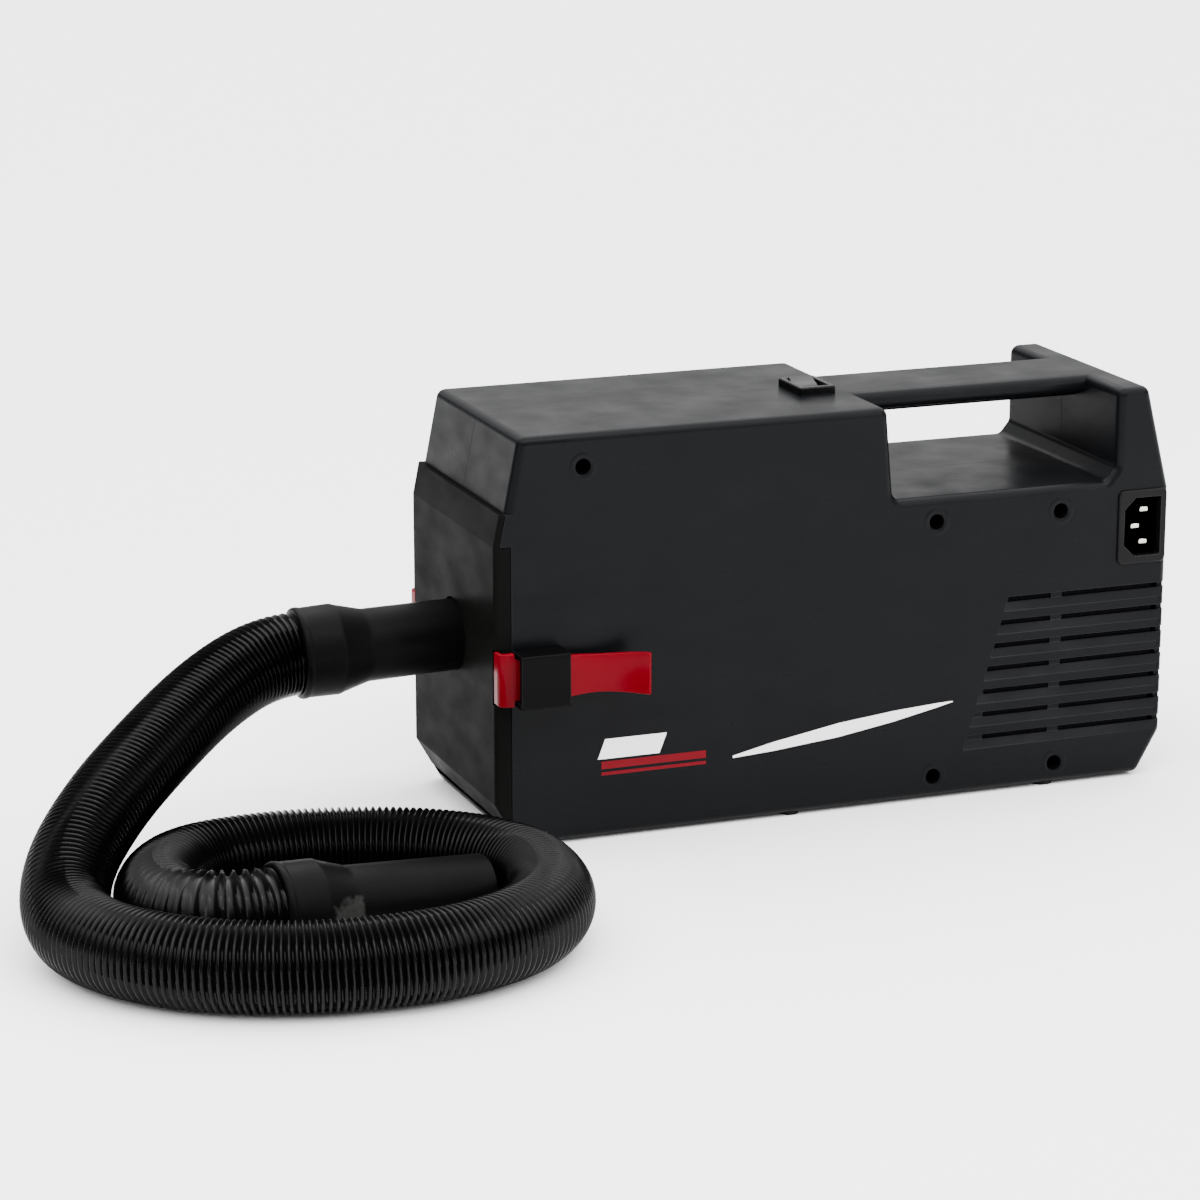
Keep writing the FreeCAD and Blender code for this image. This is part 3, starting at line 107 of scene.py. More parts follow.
def moulded(name, tone, lighter, rough, roughSpread=0.08, grain=1400, depth=0.00004, sheen=0.08,
            edge=3.5):
    material, nodes, links, shader = newMaterial(name)
    cloud = noise(nodes, links, 14, 4)
    fine = noise(nodes, links, grain, 2)
    # painted highlight: bevelled edges are coloured paler, by the factor edge, to stand in for the light
    # lines that rounded edges catch
    paintedEdgeHighlight = nodes.new("ShaderNodeAttribute")
    paintedEdgeHighlight.attribute_name = "paintedEdgeHighlight"
    mix = nodes.new("ShaderNodeMix")
    mix.data_type = "RGBA"
    links.new(paintedEdgeHighlight.outputs["Fac"], mix.inputs["Factor"])
    clouded = mixedColor(nodes, links, spread(nodes, links, cloud, 0, 1), tone, lighter)
    links.new(clouded, mix.inputs["A"])
    mix.inputs["B"].default_value = (*(v * edge for v in lighter), 1)
    links.new(mix.outputs["Result"], shader.inputs["Base Color"])
    smudge = noise(nodes, links, 45, 5, (1, 1, 2.2))
    smudged = spread(nodes, links, smudge, rough - roughSpread, rough + roughSpread)
    links.new(smudged, shader.inputs["Roughness"])
    links.new(bumped(nodes, links, fine, 0.35, depth), shader.inputs["Normal"])
    # painted shade: front-facing faces reflect less so they read darker, though the plastic is the same
    frontShade = nodes.new("ShaderNodeAttribute")
    frontShade.attribute_name = "frontShade"
    shine = spread(nodes, links, frontShade.outputs["Fac"], sheen, sheen * frontShadeShare, 0, 1)
    links.new(shine, shader.inputs["Specular IOR Level"])
    return material


def metal(name, tone, rough, stretch=(1, 1, 1), scale=900, depth=0.00002):
    material, nodes, links, shader = newMaterial(name)
    shader.inputs["Metallic"].default_value = 1
    streak = noise(nodes, links, scale, 3, stretch)
    stain = noise(nodes, links, 60, 5)
    darker = tuple(v * 0.72 for v in tone)
    stained = mixedColor(nodes, links, spread(nodes, links, stain, 0, 1), tone, darker)
    links.new(stained, shader.inputs["Base Color"])
    links.new(spread(nodes, links, streak, rough * 0.7, rough * 1.3), shader.inputs["Roughness"])
    links.new(bumped(nodes, links, streak, 0.4, depth), shader.inputs["Normal"])
    return material


def foam(name, tone, cell=700):
    material, nodes, links, shader = newMaterial(name)
    place = nodes.new("ShaderNodeTexCoord")
    cells = nodes.new("ShaderNodeTexVoronoi")
    cells.inputs["Scale"].default_value = cell
    links.new(place.outputs["Object"], cells.inputs["Vector"])
    pore = cells.outputs["Distance"]
    lighter = tuple(v * 1.9 + 0.0004 for v in tone)
    links.new(mixedColor(nodes, links, spread(nodes, links, pore, 0, 1, 0.1, 0.6), tone, lighter),
              shader.inputs["Base Color"])
    shader.inputs["Roughness"].default_value = 0.92
    shader.inputs["Specular IOR Level"].default_value = 0.03
    links.new(bumped(nodes, links, pore, 0.8, 0.0004), shader.inputs["Normal"])
    return material


def wound(name, tone, turns=1500):
    material, nodes, links, shader = newMaterial(name)
    place = nodes.new("ShaderNodeTexCoord")
    wire = nodes.new("ShaderNodeTexWave")
    wire.bands_direction = "Y"
    wire.inputs["Scale"].default_value = turns / 6.283
    wire.inputs["Distortion"].default_value = 1.5
    links.new(place.outputs["Object"], wire.inputs["Vector"])
    shader.inputs["Metallic"].default_value = 0.85
    shader.inputs["Roughness"].default_value = 0.35
    links.new(mixedColor(nodes, links, wire.outputs["Fac"], tuple(v * 0.35 for v in tone), tone),
              shader.inputs["Base Color"])
    links.new(bumped(nodes, links, wire.outputs["Fac"], 0.7, 0.0003), shader.inputs["Normal"])
    return material


# one look per material slot: name, tone, lighter tone, roughness
looks = {
    "near_shell": moulded("casingPlastic", (0.0021, 0.0023, 0.0028), (0.0028, 0.003, 0.0036), 0.34,
                          sheen=0.055),
    "front_cover": moulded("coverPlastic", (0.0034, 0.0034, 0.0033), (0.004, 0.004, 0.0038), 0.42,
                           sheen=0.004),
    "cover_seal": foam("sealFoam", (0.006, 0.006, 0.006)),
    "port_seal": moulded("sealRubber", (0.003, 0.003, 0.003), (0.005, 0.005, 0.005), 0.62),
    "filter_canister": moulded("canisterPlastic", (0.3, 0.3, 0.28), (0.36, 0.35, 0.32), 0.5),
    "filter_pleats": foam("filterPaper", (0.36, 0.35, 0.3), 1600),
    "bulkhead": moulded("bulkheadPlastic", (0.006, 0.006, 0.007), (0.009, 0.009, 0.01), 0.45),
    "fan_housing": metal("zincSheet", (0.4, 0.41, 0.42), 0.32, (0.3, 1, 1)),
    "front_motor_mount": moulded("mountRubber", (0.004, 0.004, 0.004), (0.007, 0.007, 0.007), 0.7),
    "fan_wheel": metal("pressedAluminium", (0.55, 0.56, 0.57), 0.28),
    "fan_nut": metal("platedNut", (0.4, 0.4, 0.38), 0.3),
    "motor_shaft": metal("groundSteel", (0.4, 0.4, 0.41), 0.18, (8, 1, 1)),
    "bearing": metal("bearingSteel", (0.45, 0.45, 0.47), 0.15),
    "motor_front_bracket": metal("castAluminium", (0.4, 0.41, 0.42), 0.5, scale=500, depth=0.00008),
    "lamination": metal("laminations", (0.12, 0.12, 0.13), 0.45, (14, 1, 1), 300, 0.0001),
    "winding": wound("enamelledCopper", (0.5, 0.15, 0.05)),
    "commutator": metal("turnedCopper", (0.55, 0.25, 0.12), 0.22, (6, 1, 1)),
    "carbon_brushes": moulded("carbon", (0.005, 0.005, 0.006), (0.01, 0.01, 0.011), 0.55),
    "brush_holders": metal("foldedBrass", (0.5, 0.37, 0.16), 0.3),
    "spring_steel": metal("springWire", (0.3, 0.3, 0.31), 0.25),
    "suppression_capacitor": moulded("capacitorCase", (0.36, 0.22, 0.015), (0.4, 0.26, 0.02), 0.4),
    "terminal_block": moulded("terminalPlastic", (0.36, 0.35, 0.32), (0.4, 0.39, 0.36), 0.4),
    "exhaust_foam": foam("exhaustFoam", (0.0008, 0.0008, 0.0008), 900),
    "power_inlet": moulded("inletPlastic", (0.0022, 0.0022, 0.0024), (0.0032, 0.0032, 0.0034), 0.3,
                           sheen=0.07),
    "inlet_pins": metal("nickelPins", (0.6, 0.58, 0.52), 0.2),
    "switch_body": moulded("switchPlastic", (0.0014, 0.0014, 0.0015), (0.002, 0.002, 0.0021), 0.24,
                           sheen=0.09),
    "switch_rocker": moulded("rockerPlastic", (0.0012, 0.0012, 0.0013), (0.0018, 0.0018, 0.0018), 0.18,
                             sheen=0.12),
    "live_lead": moulded("brownInsulation", (0.06, 0.02, 0.01), (0.08, 0.03, 0.012), 0.45),
    "switched_lead": moulded("blackInsulation", (0.004, 0.004, 0.004), (0.006, 0.006, 0.006), 0.45),
    "neutral_lead": moulded("blueInsulation", (0.006, 0.025, 0.14), (0.008, 0.035, 0.18), 0.45),
    "casing_screws": metal("blackenedSteel", (0.03, 0.03, 0.03), 0.35),
    "rubber_feet": moulded("footRubber", (0.003, 0.003, 0.003), (0.005, 0.005, 0.005), 0.75),
    "latch_lever": moulded("redGloss", (0.11, 0.0001, 0.0045), (0.12, 0.0002, 0.005), 0.2, 0.05, 500,
                           0.00002, 0.04, 1.4),
    "latch_bridge": moulded("bridgePlastic", (0.0012, 0.0012, 0.0014), (0.0018, 0.0018, 0.002), 0.34,
                            sheen=0.03),
    "latch_pin": metal("pinSteel", (0.4, 0.4, 0.41), 0.2, (1, 1, 8)),
    "hose_cuff": moulded("cuffPlastic", (0.0012, 0.0013, 0.0013), (0.002, 0.002, 0.0019), 0.42, 0.07, 700,
                         0.00005, 0.03),
    "hose": moulded("hosePlastic", (0.0006, 0.0006, 0.0006), (0.0009, 0.0009, 0.0009), 0.26, 0.05, 500,
                    0.00003, 0.1),
}
sharedLooks = {
    "far_shell": "near_shell", "filter_inlet_grommet": "port_seal", "filter_gasket": "cover_seal",
    "fan_inlet_seal": "cover_seal", "motor_can": "fan_housing", "motor_rear_bracket": "motor_front_bracket",
    "rear_motor_mount": "front_motor_mount",
}
slotOfNode = {entry["node"]: entry["material_slot"] for entry in frame["record"]["subparts"]}
bodies = frame["record"]["behaviour"]["bodies"]
bodyOfNode = {node: body for body, members in bodies.items() for node in members}


def lookOf(slotName):
    return looks[sharedLooks.get(slotName, slotName)]


for nodeName, node in frame["nodes"].items():
    node.data.materials.clear()
    node.data.materials.append(lookOf(slotOfNode[nodeName]))
print("materials made")


# building

def finishMesh(bm, name, material, smoothAngle=38):
    bmesh.ops.recalc_face_normals(bm, faces=bm.faces)
    for face in bm.faces:
        face.smooth = True
    limit = math.radians(smoothAngle)
    for edge in bm.edges:
        edge.smooth = len(edge.link_faces) != 2 or edge.calc_face_angle(0) < limit
    mesh = bpy.data.meshes.new(name)
    bm.to_mesh(mesh)
    bm.free()
    mesh.materials.append(material)
    piece = bpy.data.objects.new(name, mesh)
    bpy.context.scene.collection.objects.link(piece)
    return piece


def ridden(piece, nodeNames):
    first = nodeNames[0]
    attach(piece, bodyOfNode[first])
    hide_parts(*nodeNames)
    return piece


softenParts = {
    "sharp": math.radians(28), "segments": 2,
    # faces narrower than this many widths keep their edges
    "narrow": 2.4,
    # faces turned this far to the front of the machine get painted shade: less reflection
    "frontward": -0.85,
    "pieces": [
        ("nearCasing", "near_shell", 0.22), ("farCasing", "far_shell", 0.22),
        ("nearBridge", "near_latch_bridge", 0.35), ("farBridge", "far_latch_bridge", 0.35),
        ("switchFrame", "switch_body", 0.3), ("rockerKey", "switch_rocker", 0.45),
        ("inletBody", "power_inlet", 0.3), ("pinBlades", "inlet_pins", 0.5),
        ("feetSet", "rubber_feet", 0.3),
    ],
}


def faceWidth(face):
    return face.calc_area() / max(edge.calc_length() for edge in face.edges)


def softened(name, nodeName, width, part):
    bm = bmesh.new()
    bm.from_mesh(frame["nodes"][nodeName].data)
    bmesh.ops.remove_doubles(bm, verts=bm.verts, dist=weldDistance)
    bmesh.ops.dissolve_limit(bm, angle_limit=flatAngle, verts=bm.verts, edges=bm.edges)
    narrow = part["narrow"] * width * millimetre
    paintedEdgeHighlight = bm.faces.layers.float.new("paintedEdgeHighlight")
    frontShade = bm.faces.layers.float.new("frontShade")
    edges = [e for e in bm.edges if len(e.link_faces) == 2 and e.calc_face_angle(0) > part["sharp"]
             and min(faceWidth(face) for face in e.link_faces) > narrow]
    cut = bmesh.ops.bevel(bm, geom=edges, offset=width * millimetre, offset_type="OFFSET",
                          segments=part["segments"], profile=0.5, affect="EDGES", clamp_overlap=False,
                          material=-1)
    # bevel faces carry the painted edge highlight
    for face in cut["faces"]:
        face[paintedEdgeHighlight] = 1.0
    for face in bm.faces:
        face.normal_update()
        # front-facing faces are marked for painted shade
        face[frontShade] = 1.0 if face.normal.x < part["frontward"] else 0.0
    piece = finishMesh(bm, name, lookOf(slotOfNode[nodeName]))
    weighted = piece.modifiers.new("evenShading", "WEIGHTED_NORMAL")
    weighted.keep_sharp = True
    return ridden(piece, [nodeName])


# hose

hoseParts = {
    "route": [
        (-219.5, 0.0, 76.6), (-232.5, 0.0, 76.26), (-260.0, -13.0, 67.3), (-290.5, -40.0, 54.6),
        (-317.0, -68.0, 43.3), (-338.5, -96.0, 29.5), (-346.0, -122.0, 17.4), (-338.0, -155.0, 17.4),
        (-316.0, -181.0, 17.4), (-286.0, -197.0, 17.4), (-253.0, -204.5, 17.4), (-219.0, -204.0, 17.4),
        (-185.0, -189.0, 17.4), (-166.0, -162.0, 17.4), (-162.9, -129.2, 17.4), (-177.7, -102.3, 17.4),
        (-205.3, -83.1, 17.4), (-236.5, -73.5, 17.4), (-262.0, -72.5, 17.4), (-286.0, -76.5, 17.4),
        (-301.0, -91.0, 17.4), (-308.0, -111.0, 17.4), (-304.5, -131.0, 18.4), (-288.7, -146.08, 20.77),
        (-272.3, -144.5, 19.8),
    ],
    "diameter": 34.4, "around": 56, "perRib": 6, "pitch": 2.55, "stretched": 4.4, "stretchFrom": 90.0,
    "crest": 17.1, "valley": 1.8, "openDepth": 0.7, "sharpness": 0.8, "openSharpness": 1.3,
    "stretchRate": 1.6, "headingReach": 0.002,
}


def hoseLine(route):
    curve = bpy.data.curves.new("hoseLine", "CURVE")
    curve.dimensions = "3D"
    curve.resolution_u = 16
    spline = curve.splines.new("NURBS")
    spline.points.add(len(route) - 1)
    for point, (x, y, z) in zip(spline.points, route):
        point.co = (x * millimetre, y * millimetre, z * millimetre, 1)
    spline.order_u = 3
    spline.use_endpoint_u = True
    holder = bpy.data.objects.new("hoseLine", curve)
    bpy.context.scene.collection.objects.link(holder)
    bpy.context.view_layer.update()
    line = bpy.data.meshes.new_from_object(holder)
    points = [vertex.co.copy() for vertex in line.vertices]
    bpy.data.objects.remove(holder)
    bpy.data.meshes.remove(line)
    return points


def alongLine(points):
    travelled = [0.0]
    for a, b in zip(points, points[1:]):
        travelled.append(travelled[-1] + (b - a).length)
    return travelled


def pointAt(points, travelled, distance):
    low, high = 0, len(travelled) - 1
    while high - low > 1:
        middle = (low + high) // 2
        if travelled[middle] <= distance:
            low = middle
        else:
            high = middle
    share = (distance - travelled[low]) / max(travelled[high] - travelled[low], 1e-9)
    return points[low].lerp(points[high], share)


def hosePitch(part, rest):
    near = max(0.0, 1 - rest / (part["stretchFrom"] * millimetre))
    opened = min(1.0, near * part["stretchRate"])
    return (part["pitch"] + (part["stretched"] - part["pitch"]) * opened) * millimetre


def hoseRings(part, points):
    travelled = alongLine(points)
    total = travelled[-1]
    rings = []
    distance = 0.0
    phase = 0.0
    while distance < total:
        rings.append((distance, phase))
        distance += hosePitch(part, total - distance) / part["perRib"]
        phase += 1 / part["perRib"]
    rings.append((total, phase))
    return travelled, rings


def buildHose(part):
    points = hoseLine(part["route"])
    travelled, rings = hoseRings(part, points)
    total = travelled[-1]
    reach = part["headingReach"]
    around = part["around"]
    bm = bmesh.new()
    centres = []
    side = Vector((0, 0, 1))
    previous = []
    for distance, phase in rings:
        centre = pointAt(points, travelled, distance)
        ahead = pointAt(points, travelled, min(distance + reach, total))
        behind = pointAt(points, travelled, max(distance - reach, 0))
        heading = (ahead - behind).normalized()
        side = (side - heading * side.dot(heading)).normalized()
        across = heading.cross(side)
        centres.append(centre)
        opened = hosePitch(part, total - distance) / (part["pitch"] * millimetre) - 1
        depth = part["valley"] * (1 + part["openDepth"] * opened)
        sharpness = part["sharpness"] + part["openSharpness"] * opened
        ring = []
        for i in range(around):
            angle = 2 * math.pi * i / around
            ridge = (0.5 + 0.5 * math.cos(2 * math.pi * (phase - i / around))) ** sharpness
            radius = (part["crest"] - depth * (1 - ridge)) * millimetre
            outward = side * math.cos(angle) + across * math.sin(angle)
            ring.append(bm.verts.new(centre + outward * radius))
        for i in range(len(previous)):
            j = (i + 1) % around
            bm.faces.new((previous[i], previous[j], ring[j], ring[i]))
        previous = ring
    hose = finishMesh(bm, "hoseTube", lookOf("hose"), 70)
    ridden(hose, ["hose"])
    print("hose length", round(total, 4))
    return hose, centres, total


# cuffs

cuffParts = {
    "mouthInside": 15.6, "bell": 18.8, "bellLength": 17.0, "taper": 12.4, "tube": 57.1, "spigot": 15.0,
    "tip": 14.7, "bore": 12.7, "steps": 112,
    # each corner as a step along the cuff and a step out from its reference radius
    "mouthLip": [(0.9, -0.7), (0.15, 0), (0, 0.5)],
    "bellRim": [(0, -1.3), (0.15, -0.8), (0.6, -0.25), (1.3, 0), (2.6, 0), (3.1, -0.28), (3.6, -0.32)],
    "bellFoot": [(-1.2, -0.1), (-0.3, -0.18), (0.6, -0.6)],
    "tubeStart": [(-1.6, 0.45), (-0.4, 0.12), (0.8, 0)],
    "tubeEnd": [(-1.2, 0), (-0.4, -0.15), (-0.05, -0.6)],
    "boreEnd": [(0, 0.9), (-0.3, 0.25), (-0.9, 0), (-30, 0)],
    "boreStart": 6,
    "machineTurn": (0, -1.5), "toolTurn": (5.5, 3.38),
    "patchCentre": (-246.5, -160, 14), "patchReach": (6.6, 9, 11),
}


def cuffProfile(part):
    bellEnd = part["bellLength"]
    tubeStart = bellEnd + part["taper"]
    end = tubeStart + part["tube"]
    corners = []
    for run, along, radius in (
            ("mouthLip", 0, part["mouthInside"]), ("bellRim", 0, part["bell"]),
            ("bellFoot", bellEnd, part["bell"]), ("tubeStart", tubeStart, part["spigot"]),
            ("tubeEnd", end, part["tip"]), ("boreEnd", end, part["bore"])):
        corners += [(along + step, radius + rise) for step, rise in part[run]]
    return corners + [(part["boreStart"], part["bore"])]


def buildCuff(name, nodeName, mouth, turned, part, material):
    bm = bmesh.new()
    ring = [bm.verts.new((x * millimetre, 0, r * millimetre)) for x, r in cuffProfile(part)]
    edges = [bm.edges.new(pair) for pair in zip(ring, ring[1:] + ring[:1])]
    bmesh.ops.spin(bm, geom=ring + edges, cent=(0, 0, 0), axis=(1, 0, 0), angle=2 * math.pi,
                   steps=part["steps"], use_merge=True)
    turn, droop = (math.radians(angle) for angle in turned)
    place = Matrix.Translation(Vector(mouth) * millimetre)
    heading = Matrix.Rotation(turn, 4, "Z") @ Matrix.Rotation(droop, 4, "Y")
    bmesh.ops.transform(bm, matrix=place @ heading, verts=bm.verts)
    return ridden(finishMesh(bm, name, material, 32), [nodeName])


def paleCuffPatchLook(centre, reach):
    # paints a paler patch with a ragged edge on the cuff near its bell
    material = looks["hose_cuff"].copy()
    material.name = "paleCuffPatchPlastic"
    nodes, links = material.node_tree.nodes, material.node_tree.links
    shader = nodes["Principled BSDF"]
    base = shader.inputs["Base Color"].links[0].from_socket
    place = nodes.new("ShaderNodeTexCoord")
    away = nodes.new("ShaderNodeVectorMath")
    away.operation = "SUBTRACT"
    links.new(place.outputs["Object"], away.inputs[0])
    away.inputs[1].default_value = [v * millimetre for v in centre]
    scaled = nodes.new("ShaderNodeVectorMath")
    scaled.operation = "DIVIDE"
    links.new(away.outputs[0], scaled.inputs[0])
    scaled.inputs[1].default_value = [v * millimetre for v in reach]
    size = nodes.new("ShaderNodeVectorMath")
    size.operation = "ABSOLUTE"
    links.new(scaled.outputs[0], size.inputs[0])
    split = nodes.new("ShaderNodeSeparateXYZ")
    links.new(size.outputs[0], split.inputs[0])
    farthest = split.outputs["X"]
    for other in ("Y", "Z"):
        larger = nodes.new("ShaderNodeMath")
        larger.operation = "MAXIMUM"
        links.new(farthest, larger.inputs[0])
        links.new(split.outputs[other], larger.inputs[1])
        farthest = larger.outputs[0]
    ragged = nodes.new("ShaderNodeMath")
    ragged.operation = "ADD"
    links.new(farthest, ragged.inputs[0])
    links.new(spread(nodes, links, noise(nodes, links, 260, 5), -0.16, 0.16), ragged.inputs[1])
    patch = spread(nodes, links, ragged.outputs[0], 1, 0, 0.86, 1.05)
    mix = nodes.new("ShaderNodeMix")
    mix.data_type = "RGBA"
    links.new(patch, mix.inputs["Factor"])
    links.new(base, mix.inputs["A"])
    patchMottle = mixedColor(nodes, links, noise(nodes, links, 700, 4), (0.012, 0.012, 0.012),
                         (0.024, 0.024, 0.023))
    links.new(patchMottle, mix.inputs["B"])
    links.new(mix.outputs["Result"], shader.inputs["Base Color"])
    return material


hose, hoseCentres, hoseLength = buildHose(hoseParts)
hoseStart, hoseEnd = hoseParts["route"][0], hoseParts["route"][-1]
machineCuff = buildCuff("machineCuff", "machine_cuff", hoseStart, cuffParts["machineTurn"], cuffParts,
                        lookOf("hose_cuff"))
toolCuff = buildCuff("toolCuff", "tool_cuff", hoseEnd, cuffParts["toolTurn"], cuffParts,
                     paleCuffPatchLook(cuffParts["patchCentre"], cuffParts["patchReach"]))
print("hose and cuffs made")


# casing

for pieceName, nodeName, width in softenParts["pieces"]:
    softened(pieceName, nodeName, width, softenParts)
print("casing softened")


# latch levers

leverPart = {
    # centre line: along the machine, out from its side, half thickness, half height
    "stations": [
        (-150.55, -1.9, 0.95, 11.0), (-150.55, 0.5, 0.95, 11.0), (-150.5, 2.6, 1.0, 11.0),
        (-149.6, 3.75, 1.3, 11.0), (-148.0, 4.05, 1.4, 11.0), (-145.2, 4.3, 1.5, 11.0),
        (-145.0, 4.35, 1.5, 8.75), (-141.0, 4.7, 1.6, 8.75), (-137.0, 5.2, 2.0, 8.75),
        (-134.0, 5.8, 3.0, 8.75), (-131.0, 5.3, 2.0, 8.75), (-127.0, 5.4, 1.6, 8.75),
        (-123.0, 5.6, 1.5, 8.75), (-117.0, 5.35, 1.25, 8.35), (-110.0, 5.75, 1.2, 7.95),
        (-103.0, 7.5, 1.2, 8.1), (-96.5, 10.35, 1.2, 8.5), (-92.2, 13.3, 1.1, 8.8),
        (-90.3, 14.85, 0.9, 8.8),
    ],
    "corner": 0.7, "height": 71.8, "capEdge": 0.45,
}


def smoothStations(stations, steps=4):
    out = []
    for i in range(len(stations) - 1):
        a = stations[max(i - 1, 0)]
        b, c = stations[i], stations[i + 1]
        d = stations[min(i + 2, len(stations) - 1)]
        flat = abs(c[3] - b[3]) > 1
        for k in range(1 if flat else steps):
            t = 0 if flat else k / steps
            out.append(tuple(0.5 * (2 * q + (r - p) * t + (2 * p - 5 * q + 4 * r - s) * t * t
                                    + (3 * q - p - 3 * r + s) * t ** 3) for p, q, r, s in zip(a, b, c, d)))
    out.append(stations[-1])
    return out


def roundedSection(halfThick, halfTall, corner):
    corner = min(corner, halfThick * 0.8)
    points = []
    for sx, sy, start in ((1, 1, 0), (-1, 1, 90), (-1, -1, 180), (1, -1, 270)):
        for step in range(4):
            angle = math.radians(start + step * 30)
            points.append((sx * (halfThick - corner) + corner * math.cos(angle),
                           sy * (halfTall - corner) + corner * math.sin(angle)))
    return points


def buildLever(name, nodeName, sign, part):
    stations = smoothStations(part["stations"])
    height = part["height"] + feetProud
    bm = bmesh.new()
    rings = []
    for i, (x, out, thick, tall) in enumerate(stations):
        before = stations[max(i - 1, 0)]
        after = stations[min(i + 1, len(stations) - 1)]
        heading = Vector((after[0] - before[0], after[1] - before[1])).normalized()
        normal = Vector((-heading.y, heading.x))
        ring = []
        for across, up in roundedSection(thick, tall, part["corner"]):
            place = Vector((x, out)) + normal * across
            ring.append(bm.verts.new((place.x * millimetre, sign * (halfWidth + place.y) * millimetre,
                                      (height + up) * millimetre)))
        rings.append(ring)
    for first, second in zip(rings, rings[1:]):
        for i in range(len(first)):
            j = (i + 1) % len(first)
            bm.faces.new((first[i], first[j], second[j], second[i]))
    bm.faces.new(rings[0])
    bm.faces.new(rings[-1])
    caps = [e for face in bm.faces if len(face.verts) > 4 for e in face.edges]
    bmesh.ops.bevel(bm, geom=caps, offset=part["capEdge"] * millimetre, offset_type="OFFSET", segments=2,
                    profile=0.5, affect="EDGES", clamp_overlap=True, material=-1)
    return ridden(finishMesh(bm, name, lookOf("latch_lever"), 45), [nodeName])


buildLever("nearLever", "near_latch_lever", -1, leverPart)
buildLever("farLever", "far_latch_lever", 1, leverPart)
print("levers made")


# side marks, recess rims

trimPart = {
    "screws": [(-113.8, 155.8), (42.8, 119.6), (100.3, 119.4), (43.6, 9.1), (100.6, 8.9)],
    # radius and rise of each ring of a rim
    "rim": [(3.6, 0.0), (3.85, 0.14), (5.5, 0.14), (5.9, 0.0)], "rimSteps": 64,
    "inkProud": 0.06, "inkDepth": 0.05,
    # start, end, half height, slant
    "bars": [((-106, 38.5), (-79, 38.5), 4.2, 3.2)],
    "redBars": [((-106, 31.6), (-60, 31.6), 1.6, 0.0), ((-106, 28.0), (-60, 28.0), 0.7, 0.0)],
    # along, height, half height
    "sweep": [(-48, 29.0, 0.5), (-30, 31.5, 1.9), (0, 35.5, 3.0), (25, 38.8, 2.3), (45, 41.5, 0.9),
              (52, 42.4, 0.2)],
}


def sidePoint(x, z, proud):
    return (x * millimetre, -(halfWidth + proud) * millimetre, z * millimetre)


def rimRing(bm, x, z, part):
    steps = part["rimSteps"]
    loops = []
    for radius, rise in part["rim"]:
        loops.append([bm.verts.new(sidePoint(x + radius * math.cos(2 * math.pi * i / steps),
                                             z + radius * math.sin(2 * math.pi * i / steps), rise))
                      for i in range(steps)])
    for first, second in zip(loops, loops[1:]):
        for i in range(steps):
            j = (i + 1) % steps
            bm.faces.new((first[i], first[j], second[j], second[i]))


def bar(bm, start, end, half, slant, proud):
    (x1, z1), (x2, z2) = start, end
    corners = [(x1 - slant / 2, z1 - half), (x2 - slant / 2, z2 - half), (x2 + slant / 2, z2 + half),
               (x1 + slant / 2, z1 + half)]
    bm.faces.new([bm.verts.new(sidePoint(x, z, proud)) for x, z in corners])


def thicken(bm, depth):
    faces = list(bm.faces)
    grown = bmesh.ops.extrude_face_region(bm, geom=faces)
    moved = [v for v in grown["geom"] if isinstance(v, bmesh.types.BMVert)]
    bmesh.ops.translate(bm, vec=(0, depth * millimetre, 0), verts=moved)


def printed(name, tone, rough):
    material, nodes, links, shader = newMaterial(name)
    worn = spread(nodes, links, noise(nodes, links, 900, 5), 0, 1, 0.2, 0.4)
    faded = tuple(v * 0.88 for v in tone)
    links.new(mixedColor(nodes, links, worn, faded, tone), shader.inputs["Base Color"])
    shader.inputs["Roughness"].default_value = rough
    shader.inputs["Specular IOR Level"].default_value = 0.08
    return material


def onNearSide(piece):
    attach(piece, "housing")


def buildRims(part):
    bm = bmesh.new()
    for x, z in part["screws"]:
        rimRing(bm, x, z + feetProud, part)
    onNearSide(finishMesh(bm, "recessRims", lookOf("near_shell")))


def buildWhiteMarks(part):
    bm = bmesh.new()
    proud = part["inkProud"]
    for start, end, half, slant in part["bars"]:
        bar(bm, start, end, half, slant, proud)
    upper = [bm.verts.new(sidePoint(x, z + half, proud)) for x, z, half in part["sweep"]]
    lower = [bm.verts.new(sidePoint(x, z - half, proud)) for x, z, half in part["sweep"]]
    for i in range(len(upper) - 1):
        bm.faces.new((upper[i], upper[i + 1], lower[i + 1], lower[i]))
    thicken(bm, part["inkDepth"])
    onNearSide(finishMesh(bm, "whiteMarks", printed("whiteInk", (0.85, 0.85, 0.84), 0.5)))


def buildRedMarks(part):
    bm = bmesh.new()
    for start, end, half, slant in part["redBars"]:
        bar(bm, start, end, half, slant, part["inkProud"])
    thicken(bm, part["inkDepth"])
    onNearSide(finishMesh(bm, "redMarks", printed("redInk", (0.11, 0.0006, 0.005), 0.5)))


buildRims(trimPart)
buildWhiteMarks(trimPart)
buildRedMarks(trimPart)
print("trim made")


# stage

studioParts = {
    "front": 0.3, "back": 1.25, "overhead": 5.4, "left": 0.22, "aim": (-0.1, -0.04, 0.08),
    # place, width, height, power
    "strips": [
        ((-1.25, -0.55, 0.55), 0.12, 0.9, 2.5), ((0.75, -1.25, 0.6), 0.1, 0.9, 8),
        ((-0.1, -0.75, 1.35), 1.2, 0.1, 9),
    ],
    "floorSize": 6, "floorTone": (0.95, 0.95, 0.95, 1),
    "cameraPlace": (-0.64967, -1.47815, 0.50627), "cameraDown": 14.858, "cameraTurn": -20.848,
    "lens": 117.62, "sensor": 36,
}


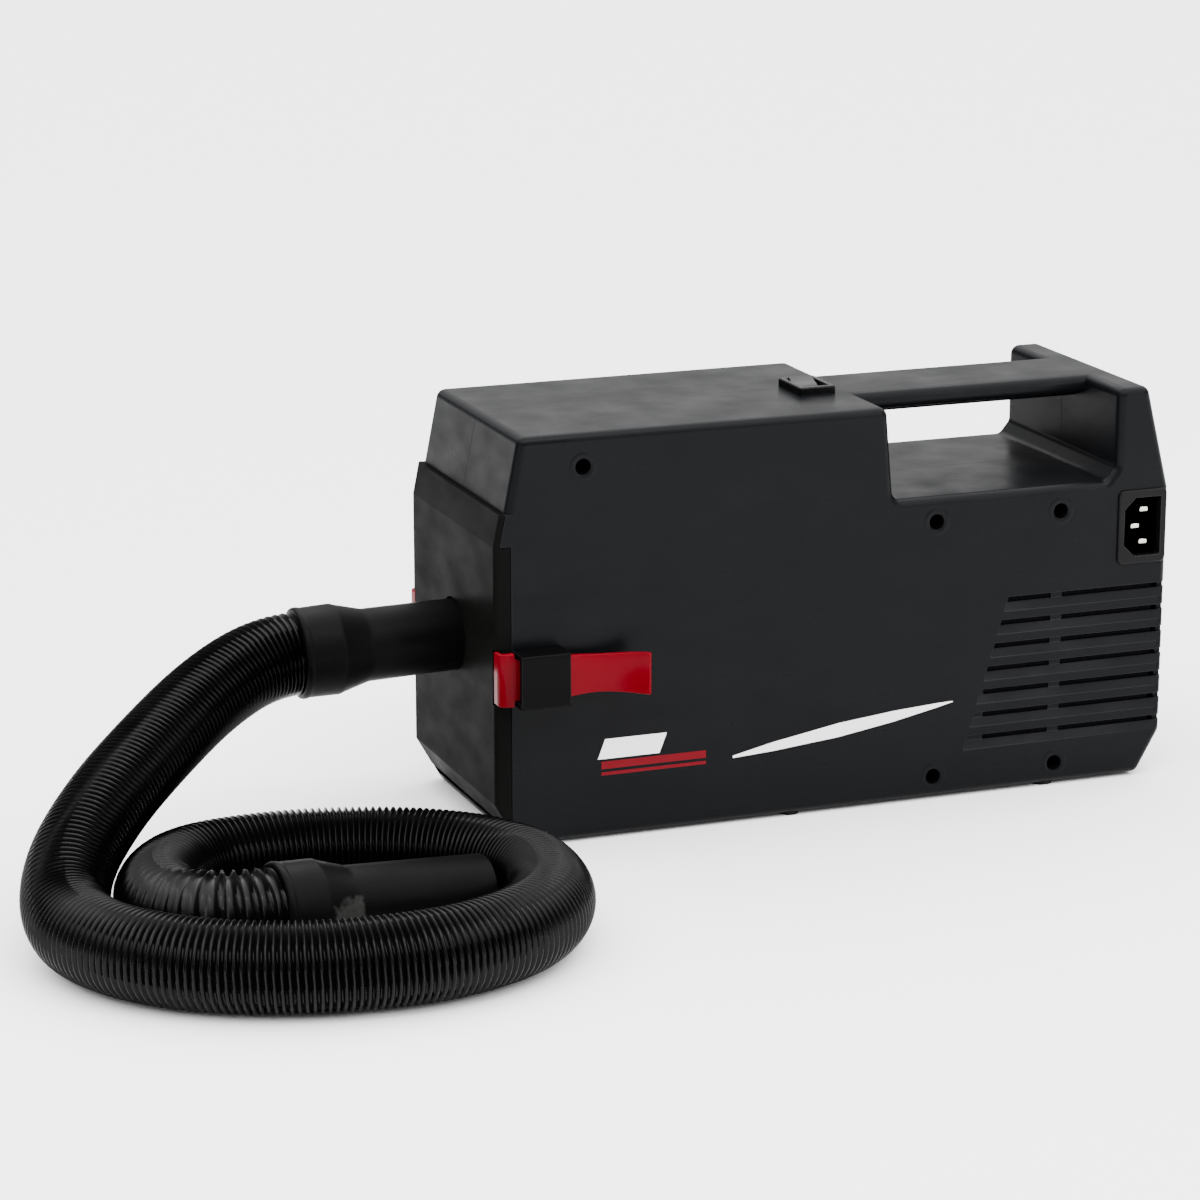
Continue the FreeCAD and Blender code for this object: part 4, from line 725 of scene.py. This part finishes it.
def ramp(nodes, links, source, start, end, low, high):
    span = nodes.new("ShaderNodeMapRange")
    span.interpolation_type = "SMOOTHSTEP"
    links.new(source, span.inputs["Value"])
    for name, value in (("From Min", start), ("From Max", end), ("To Min", low), ("To Max", high)):
        span.inputs[name].default_value = value
    return span.outputs["Result"]


def studioWorld(part):
    world = bpy.data.worlds.new("studio")
    bpy.context.scene.world = world
    world.use_nodes = True
    nodes, links = world.node_tree.nodes, world.node_tree.links
    place = nodes.new("ShaderNodeTexCoord")
    split = nodes.new("ShaderNodeSeparateXYZ")
    links.new(place.outputs["Generated"], split.inputs[0])
    around = ramp(nodes, links, split.outputs["Y"], -0.6, 0.4, part["front"], part["back"])
    above = ramp(nodes, links, split.outputs["Z"], 0.4, 0.72, 0, part["overhead"])
    dimmed = nodes.new("ShaderNodeMath")
    dimmed.operation = "MULTIPLY"
    links.new(around, dimmed.inputs[0])
    links.new(ramp(nodes, links, split.outputs["X"], -0.6, -0.1, part["left"], 1), dimmed.inputs[1])
    total = nodes.new("ShaderNodeMath")
    total.operation = "ADD"
    links.new(dimmed.outputs[0], total.inputs[0])
    links.new(above, total.inputs[1])
    background = nodes["Background"]
    background.inputs["Color"].default_value = (1, 1, 1, 1)
    links.new(total.outputs[0], background.inputs["Strength"])


def areaLight(name, place, target, width, height, power):
    light = bpy.data.lights.new(name, "AREA")
    light.shape = "RECTANGLE"
    light.size, light.size_y = width, height
    light.energy = power
    holder = bpy.data.objects.new(name, light)
    bpy.context.scene.collection.objects.link(holder)
    holder.location = place
    holder.rotation_euler = (Vector(target) - Vector(place)).to_track_quat("-Z", "Y").to_euler()


def buildStage(part):
    bm = bmesh.new()
    bmesh.ops.create_grid(bm, x_segments=1, y_segments=1, size=part["floorSize"])
    material, _, _, shader = newMaterial("paleFloor")
    shader.inputs["Base Color"].default_value = part["floorTone"]
    shader.inputs["Roughness"].default_value = 0.8
    shader.inputs["Specular IOR Level"].default_value = 0.1
    floor = finishMesh(bm, "floor", material)


def buildCamera(part):
    data = bpy.data.cameras.new("view")
    data.sensor_width = part["sensor"]
    data.lens = part["lens"]
    camera = bpy.data.objects.new("view", data)
    bpy.context.scene.collection.objects.link(camera)
    camera.location = part["cameraPlace"]
    camera.rotation_euler = (math.radians(90 - part["cameraDown"]), 0, math.radians(part["cameraTurn"]))
    bpy.context.scene.camera = camera


buildStage(studioParts)
buildCamera(studioParts)
studioWorld(studioParts)
for place, width, height, power in studioParts["strips"]:
    areaLight("strip", place, studioParts["aim"], width, height, power)
print("stage made")
